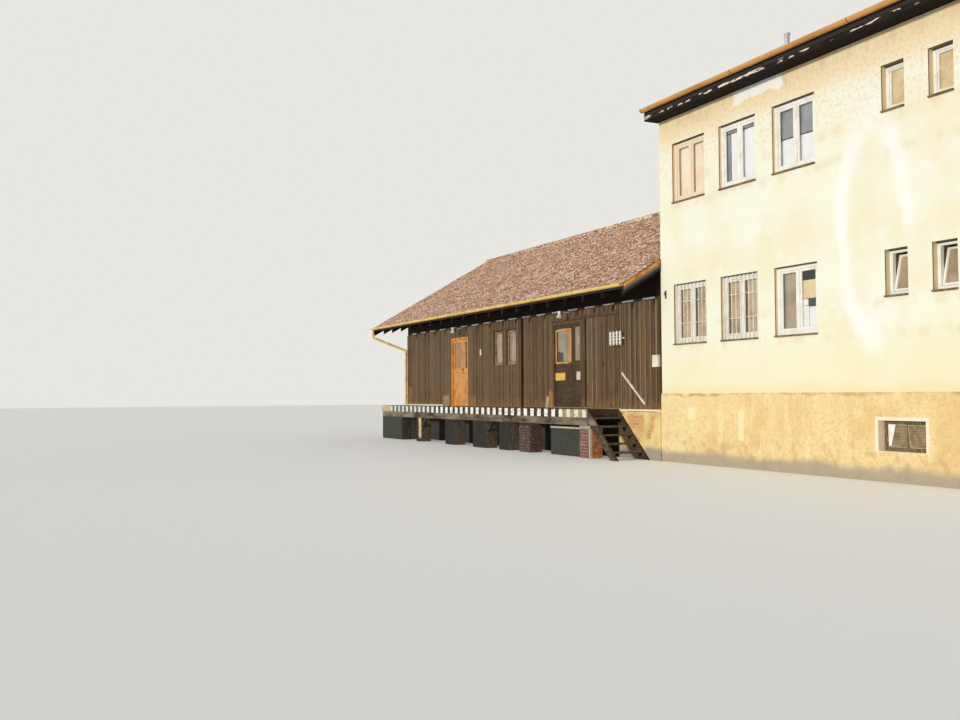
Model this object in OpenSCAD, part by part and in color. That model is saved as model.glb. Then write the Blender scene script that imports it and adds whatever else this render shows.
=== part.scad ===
// Railway station building: a rendered two-storey station block with a timber goods shed
// against its left end, and a narrow loading platform with steps along the shed's front.
// The front faces -Y. Lengths are in millimetres and the lowest ground is at z = 0.

/* [Station block] */
// Length of the block along its front
station_l = 13940; // [12000:20:16000]
// Depth of the block from front to back
station_d = 9400; // [8800:20:11000]
// Thickness of the rendered masonry walls
station_wall_t = 420; // [360:10:500]
// Height of the plinth above the lowest ground
plinth_z = 1500; // [1450:10:1540]
// How far the plinth stands out beyond the wall face
plinth_proud = 30; // [10:5:60]
// Width of the ledge inside the plinth that carries the lowest floor
plinth_ledge = 100; // [60:10:150]
// Height from one storey's window sills to the next
storey_h = 3120; // [2900:10:3300]
// Level of the boxed eaves' underside
soffit_z = 7620; // [7500:10:8000]
// Thickness of the floors
slab_t = 160; // [120:10:200]
// Height from a floor to the sills above it
sill_above_floor = 900; // [860:10:940]
// Pitch of the block's roof in degrees
station_pitch = 22; // [15:1:26]
// Thickness of the block's roof covering and boarding
station_roof_t = 160; // [120:10:200]
// Overhang of the block's eaves up to the fascia
station_eave = 370; // [300:10:450]
// Overhang of the block's roof at its gables
station_verge = 40; // [35:5:100]

/* [Station windows] */
// Sill level of the lower windows
lower_sill_z = 2560; // [2520:10:2600]
// Width of a large window
window_w = 1105; // [900:5:1200]
// Height of a large window
window_h = 1330; // [1200:10:1400]
// Distance from the block's corner to its first window
first_window_x = 472; // [460:4:600]
// Spacing of the large windows
window_pitch = 1575; // [1500:5:1640]
// Width of a small window
small_window_w = 470; // [400:10:560]
// Height of a small window
small_window_h = 800; // [700:10:900]
// Distance between the two small windows of a pair
small_window_gap = 476; // [300:4:600]
// Distance of the side windows from the middle of the gable
side_window_off = 1900; // [1200:20:2400]
// Depth of the reveal in front of a small window's frame
reveal = 120; // [80:5:160]
// Depth of the reveal in front of a large window's frame
large_reveal = 70; // [50:5:160]
// Face width of a small window's frame and of a middle post
window_frame_w = 60; // [45:5:75]
// Face width of a large window's frame
large_frame_w = 80; // [60:5:95]
// Depth of a window frame
window_frame_d = 70; // [55:5:90]
// Thickness of a pane
glass_t = 6; // [4:1:10]
// How far a sill stands out from the wall
sill_out = 40; // [20:5:60]
// Thickness of a sill
sill_t = 30; // [20:5:50]
// Width of the cellar window
cellar_window_w = 960; // [800:10:1000]
// Height of the cellar window
cellar_window_h = 515; // [400:5:560]
// Sill level of the cellar window
cellar_sill_z = 510; // [450:10:600]
// Distance of the cellar window to the right of the small window above it
cellar_window_shift = 60; // [0:10:120]
// Windows wider than this have a middle post
post_from_w = 700; // [600:10:800]

/* [Goods shed] */
// Length of the shed along its front
shed_l = 15280; // [14500:20:16500]
// Depth of the shed from front to back
shed_d = 7320; // [7000:20:8200]
// Thickness of the timber walls
shed_wall_t = 160; // [140:5:200]
// Thickness of the outer boarding, which stops below the eaves
boarding_t = 25; // [15:5:35]
// Top of the outer boarding
boarding_top_z = 3640; // [3620:10:3700]
// Level of the shed's floor and of the platform
floor_z = 1140; // [1100:10:1200]
// Thickness of the shed's floor
shed_floor_t = 150; // [100:10:200]
// Thickness of the shed's masonry footing walls
footing_t = 400; // [350:10:500]
// How far the footing stands out beyond the boarding
footing_proud = 60; // [40:5:80]
// Level of the shed's ridge
shed_ridge_z = 6630; // [6500:10:6900]
// Pitch of the shed's roof in degrees
shed_pitch = 30; // [28:1:31]
// Thickness of the shed's tiles and roof boarding
shed_roof_t = 100; // [80:5:120]
// Overhang of the shed's eaves
shed_eave = 1000; // [900:10:1050]
// Overhang of the shed's roof at its left gable
shed_verge = 770; // [500:10:900]
// Thickness of the verge boards
verge_board_t = 25; // [20:1:35]
// Height of the verge boards
verge_board_h = 190; // [150:5:230]
// Width of a rafter
rafter_w = 90; // [70:5:110]
// Depth of a rafter
rafter_h = 140; // [120:5:160]
// Largest spacing of the rafters
rafter_pitch = 850; // [700:10:950]
// Width of the ridge beam
ridge_beam_w = 140; // [100:10:180]
// Depth of the ridge beam
ridge_beam_h = 220; // [180:10:260]
// Thickness of the pale slats and of the boards that close the rafter bays
infill_t = 22; // [15:1:25]
// Height of a pale slat above the boarding
slat_h = 60; // [50:5:80]
// Length of a pale slat
slat_l = 470; // [300:10:550]
// Radius of the half-round ridge tiles
ridge_tile_r = 105; // [90:5:120]
// How far the ridge tiles are let down over the ridge
ridge_tile_sink = 30; // [20:5:40]

/* [Shed windows] */
// Width of a shed window
shed_window_w = 585; // [500:5:620]
// Height of a shed window
shed_window_h = 1000; // [900:10:1050]
// Sill level of the shed windows
shed_window_z = 2370; // [2300:10:2450]
// Distance from the block to the nearer shed window
shed_window_x = 6950; // [6800:10:7100]
// Post between the two shed windows
shed_window_post = 255; // [200:5:300]
// Depth of the reveal in front of a shed window frame
shed_reveal = 50; // [40:5:60]
// How far a drip board stands out over a shed window or door
hood_out = 55; // [40:5:70]
// Thickness of a drip board
hood_t = 28; // [20:2:36]
// How far a drip board runs past its opening at each side
hood_side = 30; // [20:5:40]

/* [Doors] */
// Distance from the block to the first door, the far one
first_door_x = 10160; // [10000:10:10300]
// Width of the first doorway
first_door_w = 1260; // [1200:10:1320]
// Height of the first doorway
first_door_h = 2200; // [2100:10:2300]
// Distance from the block to the second door
second_door_x = 3390; // [3350:10:3450]
// Width of the second doorway
second_door_w = 1460; // [1400:10:1520]
// Height of the second doorway
second_door_h = 2260; // [2150:10:2350]
// Distance from the block to the goods door
goods_door_x = 1650; // [1620:5:1660]
// Width of the goods doorway
goods_door_w = 1660; // [1600:10:1680]
// Height of the goods doorway
goods_door_h = 2360; // [2200:10:2400]
// Width of the first door's side leaf
first_side_leaf_w = 322; // [300:2:360]
// Width of the second door's side leaf
second_side_leaf_w = 432; // [400:2:480]
// Face width of a door frame
door_frame_w = 60; // [50:5:80]
// Depth of a door frame
door_frame_d = 120; // [115:5:130]
// Width of the stop that a leaf closes against
door_stop_w = 15; // [10:1:20]
// Depth of that stop
door_stop_d = 33; // [25:1:33]
// Height of a door's threshold
threshold_h = 25; // [15:1:35]
// Thickness of a door leaf
leaf_t = 45; // [40:1:46]
// Running gap round a door leaf
leaf_gap = 6; // [6:1:8]
// Gap where two leaves meet
meeting_gap = 16; // [16:1:20]
// Width of the stiles and rails of a leaf
stile_w = 85; // [70:5:95]
// Depth of the panels sunk in a leaf
panel_sink = 12; // [8:1:14]
// Height of the sill of a door's glass above the leaf's foot
light_sill = 1180; // [1100:10:1250]
// Height of the middle rail below the glass
lock_rail_h = 130; // [100:5:180]
// Radius of a hinge pin
pin_r = 6; // [5:0.5:7]
// Running clearance of a hinge pin
pin_gap = 0.3; // [0.2:0.05:0.4]
// Outer radius of a hinge barrel
barrel_r = 10; // [9:0.5:11]
// Length of a hinge barrel
barrel_h = 60; // [45:5:80]
// Distance of a hinge axis from the jamb and from the leaf's inner face
pin_off = 16; // [16:1:18]
// Height of the hinges from the leaf's ends
hinge_inset = 300; // [250:10:400]

/* [Platform and steps] */
// Distance from the block to the platform's right end
platform_x = 1640; // [1630:5:1700]
// Depth of the platform from the boarding to its front beam's face
platform_d = 950; // [900:10:1000]
// Thickness of the deck planks
deck_t = 50; // [35:5:60]
// Height of the striped edge board
edge_h = 190; // [170:5:210]
// Thickness of the striped edge board
edge_t = 40; // [30:5:50]
// Height of the front beam
beam_h = 190; // [160:5:210]
// Thickness of the front beam
beam_t = 140; // [120:5:180]
// Width of a joist under the deck
joist_w = 110; // [80:5:140]
// Largest spacing of the joists
joist_pitch = 1200; // [900:20:1400]
// Length of the masonry abutment at the platform's left end
abutment_l = 1850; // [1600:10:2000]
// Depth of a masonry pier
pier_d = 340; // [300:10:400]
// Section of a strut from a pier's side to the beam
strut_t = 60; // [50:5:70]
// Reach of a strut along the beam
strut_run = 300; // [250:10:340]
// Width of the brick pier at the platform's right end
corner_pier_w = 450; // [400:10:480]
// Distance of the brick pier's right face beyond the platform's end
corner_pier_out = 115; // [100:5:120]
// Length of the low wall beside the brick pier
low_wall_l = 1610; // [1500:10:1700]
// Height of that low wall
low_wall_h = 660; // [600:10:700]
// Thickness of that low wall
low_wall_t = 120; // [100:10:160]
// Thickness of the coping on it
coping_t = 45; // [35:5:60]
// How far the coping stands out
coping_out = 15; // [10:5:20]
// Going of a step
going = 205; // [200:1:220]
// Number of rises from the lowest ground to the platform
rises = 6; // [6:1:6]
// Vertical height of a stringer board
stringer_h = 260; // [240:5:280]
// Thickness of a stringer board
stringer_t = 50; // [40:2:60]
// Thickness of a tread
tread_t = 40; // [30:2:50]
// Thickness of the riser board at the head of the steps
riser_t = 24; // [18:2:30]
// Section of the handrail batten
rail_t = 45; // [35:1:55]
// Distance of the batten's head beyond the platform's end
rail_start = 100; // [60:10:140]
// Height of the batten's head above the platform
rail_top = 880; // [820:10:920]
// Run of the batten
rail_run = 910; // [850:10:950]
// Fall of the batten
rail_fall = 730; // [650:10:760]

/* [Gutters and fittings] */
// Radius of the shed's gutters
shed_gutter_r = 60; // [50:2:70]
// Radius of the block's gutters
station_gutter_r = 70; // [60:2:80]
// Thickness of the gutter metal
gutter_t = 3; // [2:0.5:4]
// How far the rim of the shed's gutter hangs below the roof's edge
shed_gutter_drop = 15; // [10:1:20]
// How far the rim of the block's gutter hangs below the roof's edge
station_gutter_drop = 25; // [15:1:35]
// Radius of a downpipe
pipe_r = 42; // [35:1:50]
// Gap between a downpipe and the wall, bridged by its clips
pipe_gap = 40; // [35:1:60]
// Drop of the shed's downpipe under the gutter before it slants to the wall
pipe_drop = 270; // [250:5:320]
// Level where that slant reaches the wall
pipe_bend_z = 3100; // [2900:10:3200]
// Height of a pipe clip
clip_h = 30; // [20:2:40]
// Radius of the flue
flue_r = 58; // [45:1:70]
// Height of the flue above the roof
flue_h = 530; // [400:10:700]
// Distance of the flue from the block's left end
flue_x = 1050; // [900:10:1300]
// Distance of the flue behind the front wall's face
flue_y = 2850; // [2600:10:3000]
// Distance of the block's downpipes from its right corner
pipe_corner = 260; // [200:10:320]
// Distance below the soffit where the block's downpipe turns towards the wall
pipe_turn = 80; // [60:10:120]
// Distance below the soffit where it reaches the wall
pipe_reach = 420; // [350:10:500]
// Level where it ends
pipe_foot = 120; // [80:10:200]
// Distance of the first lamp from the block
first_lamp_x = 10660; // [10500:10:10800]
// Distance of the second lamp from the block
second_lamp_x = 3990; // [3800:10:4200]
// Distance of the lamps from the wall
lamp_out = 285; // [200:5:350]
// Radius of a lamp's shade
lamp_r = 95; // [70:5:120]
// Height of a lamp's shade
lamp_shade_h = 82; // [60:2:110]
// Radius of a lamp's body above the shade
lamp_body_r = 40; // [30:1:44]
// Height of that body
lamp_body_h = 90; // [84:2:110]
// Width of a lamp's arm
lamp_arm = 24; // [16:2:30]
// Width of the meter box
meter_w = 200; // [180:10:260]
// Height of the meter box
meter_h = 270; // [230:10:320]
// Depth of the meter box
meter_d = 80; // [60:5:110]
// Distance of the meter box from the block
meter_x = 60; // [50:5:100]
// Level of the meter box's underside
meter_z = 2100; // [2000:10:2150]
// Width of the conduit strip above the meter box
strip_w = 60; // [40:5:80]
// Depth of that strip
strip_d = 30; // [20:2:40]
// Distance of the insulators' right end from the block
rack_x = 1460; // [1400:10:1560]
// Level of the insulators' bracket
rack_z = 2830; // [2700:10:2900]
// Length of that bracket
rack_l = 500; // [460:10:560]
// Distance of the insulators from the wall
rack_out = 90; // [80:5:110]
// Height of an insulator
insulator_h = 330; // [300:5:360]
// Radius of an insulator's body
insulator_r = 26; // [20:1:30]

/* [Hidden] */

$fn = 48;

// The drawing's own axes start at the block's front left corner. The whole is then
// moved so that the origin is at the middle of its outline on the ground.
// Sloping faces that rest on each other, and the gutters on their eaves, keep a hair gap.
seat = 0.3;
shed_gutter_y = -shed_eave - shed_gutter_r - seat;
x_min = -shed_l - shed_verge;
x_max = station_l + station_verge;
y_min = shed_gutter_y - shed_gutter_r;
y_max = station_d + station_eave + seat + 2 * station_gutter_r;
mid_x = (x_min + x_max) / 2;
mid_y = (y_min + y_max) / 2;

// Floor levels of the block
ground_floor_z = lower_sill_z - sill_above_floor;
upper_floor_z = ground_floor_z + storey_h;
upper_sill_z = lower_sill_z + storey_h;
attic_floor_z = soffit_z;
cellar_floor_t = 100;

// The underside of the block's roof starts this far above the soffit at the fascia
fascia_t = 20;
eave_rise = 80;
station_eave_z = soffit_z + eave_rise;
small_xs = [
    (station_l - small_window_gap) / 2 - small_window_w,
    (station_l + small_window_gap) / 2
];
big_xs = concat(
    [for (i = [0:2]) first_window_x + i * window_pitch],
    [for (i = [0:2]) station_l - first_window_x - window_w - i * window_pitch]
);
side_xs = [
    station_d / 2 - side_window_off - window_w / 2,
    station_d / 2 + side_window_off - window_w / 2
];
cellar_window_x = small_xs[0] + (small_window_w - cellar_window_w) / 2 + cellar_window_shift;

// The shed's roof lines
shed_mid_y = shed_d / 2;
rafter_over = 20;
leaf_y = door_stop_d + 5;
leaf_in_y = leaf_y + leaf_t;
pin_y = leaf_in_y + pin_off;

// Platform levels
step_rise = floor_z / rises;
beam_top_z = floor_z - edge_h;
pier_top_z = beam_top_z - beam_h;
platform_l = shed_l - platform_x;
// Each pier's distance from the platform's right end to its left face, and its width
piers = [[10490, 400], [8160, 700], [6210, 890], [4540, 590], [3360, 580]];

// Colours
render_cream = [0.93, 0.83, 0.58];
plinth_ochre = [0.87, 0.74, 0.52];
concrete = [0.62, 0.60, 0.56];
white_paint = [0.90, 0.89, 0.85];
pane = [0.55, 0.62, 0.66, 0.5];
brown_boards = [0.40, 0.31, 0.24];
dark_timber = [0.22, 0.17, 0.13];
tiles = [0.55, 0.40, 0.34];
varnish_orange = [0.85, 0.50, 0.18];
ochre_metal = [0.86, 0.62, 0.20];
grey_metal = [0.50, 0.50, 0.50];
brick_red = [0.66, 0.38, 0.26];
pale_stone = [0.76, 0.68, 0.52];

function station_under(y) =
    station_eave_z + tan(station_pitch) * (min(y, station_d - y) + station_eave);
function station_top(y) = station_under(y) + station_roof_t / cos(station_pitch);
function shed_top(y) = shed_ridge_z - tan(shed_pitch) * abs(y - shed_mid_y);
function shed_under(y) = shed_top(y) - shed_roof_t / cos(shed_pitch);
function rafter_under(y) = shed_under(y) - rafter_h / cos(shed_pitch);

module placed() {
    translate([-mid_x, -mid_y, 0]) children();
}

// A solid of length l along X from an outline of [y, z] points
module profile_x(x, l, points) {
    translate([x, 0, 0]) rotate([90, 0, 90]) linear_extrude(l) polygon(points);
}

// A solid of thickness t along Y from an outline of [x, z] points
module profile_y(y, t, points) {
    translate([0, y + t, 0]) rotate([90, 0, 0]) linear_extrude(t) polygon(points);
}

module box(x, y, z, l, d, h) {
    translate([x, y, z]) cube([l, d, h]);
}

// A round bar from point a to point b
module bar(a, b, r) {
    d = b - a;
    translate(a)
        rotate([0, acos(d.z / norm(d)), atan2(d.y, d.x)])
            cylinder(h = norm(d), r = r);
}

// Copies of the front made on the back and on the right gable of the block
module station_back() {
    translate([0, station_d, 0]) mirror([0, 1, 0]) children();
}

module station_right() {
    translate([station_l, 0, 0]) rotate([0, 0, 90]) children();
}

module shed_back() {
    translate([0, shed_d, 0]) mirror([0, 1, 0]) children();
}

// Each window of a long wall as [x, z, width, height]
function long_windows(sill) = concat(
    [for (x = big_xs) [x, sill, window_w, window_h]],
    [for (x = small_xs) [x, sill + window_h - small_window_h, small_window_w, small_window_h]]
);
function side_windows(sill) = [for (x = side_xs) [x, sill, window_w, window_h]];

module window_cuts(windows) {
    for (w = windows)
        box(w[0], -1, w[1], w[2], station_wall_t + 2, w[3]);
}

// The depth of a window's reveal, and the face width of its frame
function frame_y(w) = w[2] > post_from_w ? large_reveal : reveal;
function frame_w(w) = w[2] > post_from_w ? large_frame_w : window_frame_w;

// A frame in its opening, with a middle post in front of the pane where it is wide
module window_frame(w, y) {
    face = frame_w(w);
    difference() {
        box(w[0], y, w[1], w[2], window_frame_d, w[3]);
        box(w[0] + face, y - 1, w[1] + sill_t + face,
            w[2] - 2 * face, window_frame_d + 2, w[3] - sill_t - 2 * face);
    }
    if (w[2] > post_from_w)
        box(w[0] + w[2] / 2 - window_frame_w / 2, y, w[1] + sill_t + face - 1,
            window_frame_w, window_frame_d / 2, w[3] - sill_t - 2 * face + 2);
}

module window_pane(w, y) {
    face = frame_w(w);
    box(w[0] + face, y + window_frame_d / 2, w[1] + sill_t + face,
        w[2] - 2 * face, glass_t, w[3] - sill_t - 2 * face);
}

module window_sill(w) {
    box(w[0], -sill_out, w[1], w[2], sill_out + frame_y(w), sill_t);
}

module station_long_wall() {
    difference() {
        profile_x(0, station_l, [
            [0, plinth_z], [station_wall_t, plinth_z],
            [station_wall_t, station_under(station_wall_t) - seat],
            [0, station_under(0) - seat]
        ]);
        window_cuts(long_windows(lower_sill_z));
        window_cuts(long_windows(upper_sill_z));
    }
}

module station_gable(x) {
    profile_x(x, station_wall_t, [
        [station_wall_t, plinth_z],
        [station_d - station_wall_t, plinth_z],
        [station_d - station_wall_t, station_under(station_wall_t) - seat],
        [station_d / 2, station_under(station_d / 2) - seat],
        [station_wall_t, station_under(station_wall_t) - seat]
    ]);
}

module plinth_long() {
    box(0, -plinth_proud, 0, station_l + plinth_proud,
        plinth_proud + station_wall_t + plinth_ledge, plinth_z);
}

module plinth_long_walls() {
    color(plinth_ochre) placed() {
        difference() {
            plinth_long();
            box(cellar_window_x, -plinth_proud - 1, cellar_sill_z, cellar_window_w,
                plinth_proud + station_wall_t + plinth_ledge + 2, cellar_window_h);
        }
        station_back() plinth_long();
    }
}

module plinth_end_walls() {
    inner = station_wall_t + plinth_ledge;
    color(plinth_ochre) placed() {
        box(0, inner, 0, inner, station_d - 2 * inner, plinth_z);
        box(station_l - inner, inner, 0, inner + plinth_proud, station_d - 2 * inner, plinth_z);
    }
}

module station_slab(top, t, inset) {
    box(inset, inset, top - t, station_l - 2 * inset, station_d - 2 * inset, t);
}

module station_floors() {
    color(concrete) placed() {
        station_slab(cellar_floor_t, cellar_floor_t, station_wall_t + plinth_ledge);
        station_slab(ground_floor_z, ground_floor_z - plinth_z, station_wall_t);
        station_slab(upper_floor_z, slab_t, station_wall_t);
        station_slab(attic_floor_z, slab_t, station_wall_t);
    }
}

module station_front_wall() {
    color(render_cream) placed() station_long_wall();
}

module station_back_wall() {
    color(render_cream) placed() station_back() station_long_wall();
}

module station_left_wall() {
    color(render_cream) placed() station_gable(0);
}

module station_right_wall() {
    color(render_cream) placed() difference() {
        station_gable(station_l - station_wall_t);
        station_right() window_cuts(side_windows(lower_sill_z));
        station_right() window_cuts(side_windows(upper_sill_z));
    }
}

module station_slope() {
    profile_x(-station_verge, station_l + 2 * station_verge, [
        [-station_eave, station_under(-station_eave)],
        [station_d / 2, station_under(station_d / 2)],
        [station_d / 2, station_top(station_d / 2)],
        [-station_eave, station_top(-station_eave)]
    ]);
}

module station_roof_front() {
    color(tiles) placed() difference() {
        station_slope();
        translate([flue_x, flue_y, 0]) cylinder(h = 2 * soffit_z, r = flue_r + 1);
    }
}

module station_roof_back() {
    color(tiles) placed() station_back() station_slope();
}

// The boxed eaves: a soffit, a fascia and a cheek at each end
module boxed_eave() {
    inner = -station_eave + fascia_t;
    profile_x(-station_verge, station_l + 2 * station_verge, [
        [0, soffit_z - fascia_t], [0, soffit_z], [inner, soffit_z],
        [inner, station_under(inner) - seat], [-station_eave, station_eave_z - seat],
        [-station_eave, soffit_z - fascia_t]
    ]);
    for (x = [-station_verge, station_l + station_verge - fascia_t])
        profile_x(x, fascia_t, [
            [0, soffit_z - 1], [0, station_under(0) - seat],
            [-station_eave, station_eave_z - seat], [-station_eave, soffit_z - 1]
        ]);
}

module station_eaves() {
    color(white_paint) placed() {
        boxed_eave();
        station_back() boxed_eave();
    }
}

// A half-round gutter with closed ends, hung with its rim at height z
module gutter(x, l, y, z, r) {
    translate([x, y, z]) rotate([90, 0, 90]) {
        linear_extrude(l) difference() {
            circle(r);
            circle(r - gutter_t);
            translate([-r, 0]) square([2 * r, r]);
        }
        for (e = [0, l - gutter_t])
            translate([0, 0, e]) linear_extrude(gutter_t) difference() {
                circle(r - gutter_t / 2);
                translate([-r, 0]) square([2 * r, r]);
            }
    }
}

station_gutter_y = -station_eave - station_gutter_r - seat;
station_gutter_z = station_top(-station_eave) - station_gutter_drop;
shed_gutter_z = shed_top(-shed_eave) - shed_gutter_drop;

module station_gutter() {
    gutter(-station_verge, station_l + 2 * station_verge, station_gutter_y,
        station_gutter_z, station_gutter_r);
}

module station_gutters() {
    color(ochre_metal) placed() {
        station_gutter();
        station_back() station_gutter();
    }
}

// The bends of a pipe stand out a little from its runs
bend_bead = 3;

// A pipe through a list of points, with clips that reach back to a wall at y = 0
module downpipe(points, clips) {
    for (i = [0 : len(points) - 2])
        bar(points[i], points[i + 1], pipe_r);
    for (i = [1 : len(points) - 2])
        translate(points[i]) sphere(r = pipe_r + bend_bead);
    last = points[len(points) - 1];
    for (z = clips) {
        translate([last.x, last.y, z]) cylinder(h = clip_h, r = pipe_r + bend_bead);
        box(last.x - clip_h / 2, last.y, z, clip_h, -last.y, clip_h);
    }
}

module station_pipe() {
    station_pipe_x = station_l - pipe_corner;
    wall_y = -plinth_proud - pipe_gap - pipe_r;
    bottom = station_gutter_z - station_gutter_r;
    downpipe([
        [station_pipe_x, station_gutter_y, bottom],
        [station_pipe_x, station_gutter_y, soffit_z - pipe_turn],
        [station_pipe_x, wall_y, soffit_z - pipe_reach],
        [station_pipe_x, wall_y, pipe_foot]
    ], [plinth_z + 300, upper_floor_z, soffit_z - 700]);
}

module station_downpipes() {
    color(ochre_metal) placed() {
        station_pipe();
        station_back() station_pipe();
    }
}

module roof_flue() {
    top = station_top(flue_y) + flue_h;
    color(grey_metal) placed() translate([flue_x, flue_y, 0]) {
        translate([0, 0, attic_floor_z]) cylinder(h = top - attic_floor_z, r = flue_r);
        translate([0, 0, top - 1]) cylinder(h = 40, r = flue_r + 14);
    }
}

module ground_floor_windows() {
    color(white_paint) placed() {
        for (w = long_windows(lower_sill_z)) {
            window_frame(w, frame_y(w));
            station_back() window_frame(w, frame_y(w));
        }
        for (w = side_windows(lower_sill_z))
            station_right() window_frame(w, frame_y(w));
    }
}

module upper_floor_windows() {
    color(white_paint) placed() {
        for (w = long_windows(upper_sill_z)) {
            window_frame(w, frame_y(w));
            station_back() window_frame(w, frame_y(w));
        }
        for (w = side_windows(upper_sill_z))
            station_right() window_frame(w, frame_y(w));
    }
}

cellar_opening = [cellar_window_x, cellar_sill_z, cellar_window_w, cellar_window_h];

module cellar_window() {
    color(white_paint) placed() difference() {
        box(cellar_window_x, reveal, cellar_sill_z, cellar_window_w, window_frame_d,
            cellar_window_h);
        for (i = [0, 1])
            box(cellar_window_x + window_frame_w + i * (cellar_window_w - window_frame_w) / 2,
                reveal - 1, cellar_sill_z + window_frame_w,
                (cellar_window_w - 3 * window_frame_w) / 2, window_frame_d / 2 + 1,
                cellar_window_h - 2 * window_frame_w);
    }
}

module ground_floor_glass() {
    color(pane) placed() {
        for (w = long_windows(lower_sill_z)) {
            window_pane(w, frame_y(w));
            station_back() window_pane(w, frame_y(w));
        }
        for (w = side_windows(lower_sill_z))
            station_right() window_pane(w, frame_y(w));
    }
}

module upper_floor_glass() {
    color(pane) placed() {
        for (w = long_windows(upper_sill_z)) {
            window_pane(w, frame_y(w));
            station_back() window_pane(w, frame_y(w));
        }
        for (w = side_windows(upper_sill_z))
            station_right() window_pane(w, frame_y(w));
    }
}

module window_sills() {
    color(pale_stone) placed()
        for (sill = [lower_sill_z, upper_sill_z]) {
            for (w = long_windows(sill)) {
                window_sill(w);
                station_back() window_sill(w);
            }
            for (w = side_windows(sill))
                station_right() window_sill(w);
        }
}

module shed_foundation() {
    color(pale_stone) placed() {
        box(-shed_l, -footing_proud, 0, shed_l, footing_t, floor_z);
        shed_back() box(-shed_l, -footing_proud, 0, shed_l, footing_t, floor_z);
    }
}

footing_in = footing_t - footing_proud;

module shed_end_foundation() {
    color(pale_stone) placed()
        box(-shed_l, footing_in, 0, footing_in, shed_d - 2 * footing_in, floor_z);
}

module shed_floor() {
    color(concrete) placed()
        box(-shed_l + footing_in, footing_in, floor_z - shed_floor_t,
            shed_l - footing_in, shed_d - 2 * footing_in, shed_floor_t);
}

// A length of the shed's long wall: its boarding stops below the eaves and its top
// is cut to the slope of the rafters' undersides.
module shed_wall(x, l, bottom = floor_z) {
    profile_x(x, l, [
        [0, bottom], [shed_wall_t, bottom],
        [shed_wall_t, rafter_under(shed_wall_t) - seat],
        [boarding_t, rafter_under(boarding_t) - seat],
        [boarding_t, boarding_top_z], [0, boarding_top_z]
    ]);
}

shed_window_xs = [
    -shed_window_x - shed_window_w,
    -shed_window_x - 2 * shed_window_w - shed_window_post
];
shed_windows = [
    for (x = shed_window_xs) [x, shed_window_z, shed_window_w, shed_window_h]
];
first_door_left = -first_door_x - first_door_w;
second_door_left = -second_door_x - second_door_w;
goods_door_left = -goods_door_x - goods_door_w;

module shed_front_wall() {
    color(brown_boards) placed() difference() {
        union() {
            shed_wall(-shed_l, shed_l - first_door_x - first_door_w);
            shed_wall(-first_door_x, first_door_x - second_door_x - second_door_w);
            shed_wall(-second_door_x, second_door_x - goods_door_x - goods_door_w);
            shed_wall(-goods_door_x, goods_door_x);
        }
        for (w = shed_windows)
            box(w[0], -1, w[1], w[2], shed_wall_t + 2, w[3]);
    }
}

module shed_wall_over_doors() {
    color(brown_boards) placed() {
        shed_wall(first_door_left, first_door_w, floor_z + first_door_h);
        shed_wall(second_door_left, second_door_w, floor_z + second_door_h);
        shed_wall(goods_door_left, goods_door_w, floor_z + goods_door_h);
    }
}

module shed_back_wall() {
    color(brown_boards) placed() shed_back() shed_wall(-shed_l, shed_l);
}

module shed_left_wall() {
    color(brown_boards) placed() profile_x(-shed_l, shed_wall_t, [
        [shed_wall_t, floor_z], [shed_d - shed_wall_t, floor_z],
        [shed_d - shed_wall_t, shed_under(shed_wall_t) - seat],
        [shed_mid_y + ridge_beam_w / 2, shed_under(shed_mid_y + ridge_beam_w / 2) - seat],
        [shed_mid_y + ridge_beam_w / 2, ridge_beam_bottom],
        [shed_mid_y - ridge_beam_w / 2, ridge_beam_bottom],
        [shed_mid_y - ridge_beam_w / 2, shed_under(shed_mid_y - ridge_beam_w / 2) - seat],
        [shed_wall_t, shed_under(shed_wall_t) - seat]
    ]);
}

roof_left_x = -shed_l - shed_verge + verge_board_t;
ridge_beam_bottom = shed_under(shed_mid_y - ridge_beam_w / 2) - ridge_beam_h;

module shed_slope() {
    profile_x(roof_left_x, -roof_left_x, [
        [-shed_eave, shed_under(-shed_eave)],
        [shed_mid_y, shed_under(shed_mid_y)],
        [shed_mid_y, shed_top(shed_mid_y)],
        [-shed_eave, shed_top(-shed_eave)]
    ]);
}

module shed_roof_front() {
    color(tiles) placed() shed_slope();
}

module shed_roof_back() {
    color(tiles) placed() shed_back() shed_slope();
}

module shed_ridge_beam() {
    half = ridge_beam_w / 2;
    color(dark_timber) placed() profile_x(roof_left_x, -roof_left_x, [
        [shed_mid_y - half, ridge_beam_bottom], [shed_mid_y + half, ridge_beam_bottom],
        [shed_mid_y + half, shed_under(shed_mid_y + half) - seat],
        [shed_mid_y, shed_under(shed_mid_y) - seat],
        [shed_mid_y - half, shed_under(shed_mid_y - half) - seat]
    ]);
}

// Ridge tiles in their mortar: a round bar along a ridge, cut to the two roof slopes
module ridge_roll(x, l, y, z, pitch) {
    far = 2 * ridge_tile_r;
    difference() {
        profile_x(x, l, [
            for (a = [0:7.5:352.5])
                [y + ridge_tile_r * cos(a), z - ridge_tile_sink + ridge_tile_r * sin(a)]
        ]);
        profile_x(x - 1, l + 2, [
            [y - far, z + seat - far * tan(pitch)], [y, z + seat],
            [y + far, z + seat - far * tan(pitch)], [y + far, z - 2 * far], [y - far, z - 2 * far]
        ]);
    }
}

module ridge_tiles() {
    color(tiles) placed() {
        ridge_roll(roof_left_x, -roof_left_x, shed_mid_y, shed_ridge_z, shed_pitch);
        ridge_roll(-station_verge, station_l + 2 * station_verge, station_d / 2,
            station_top(station_d / 2), station_pitch);
    }
}

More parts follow.
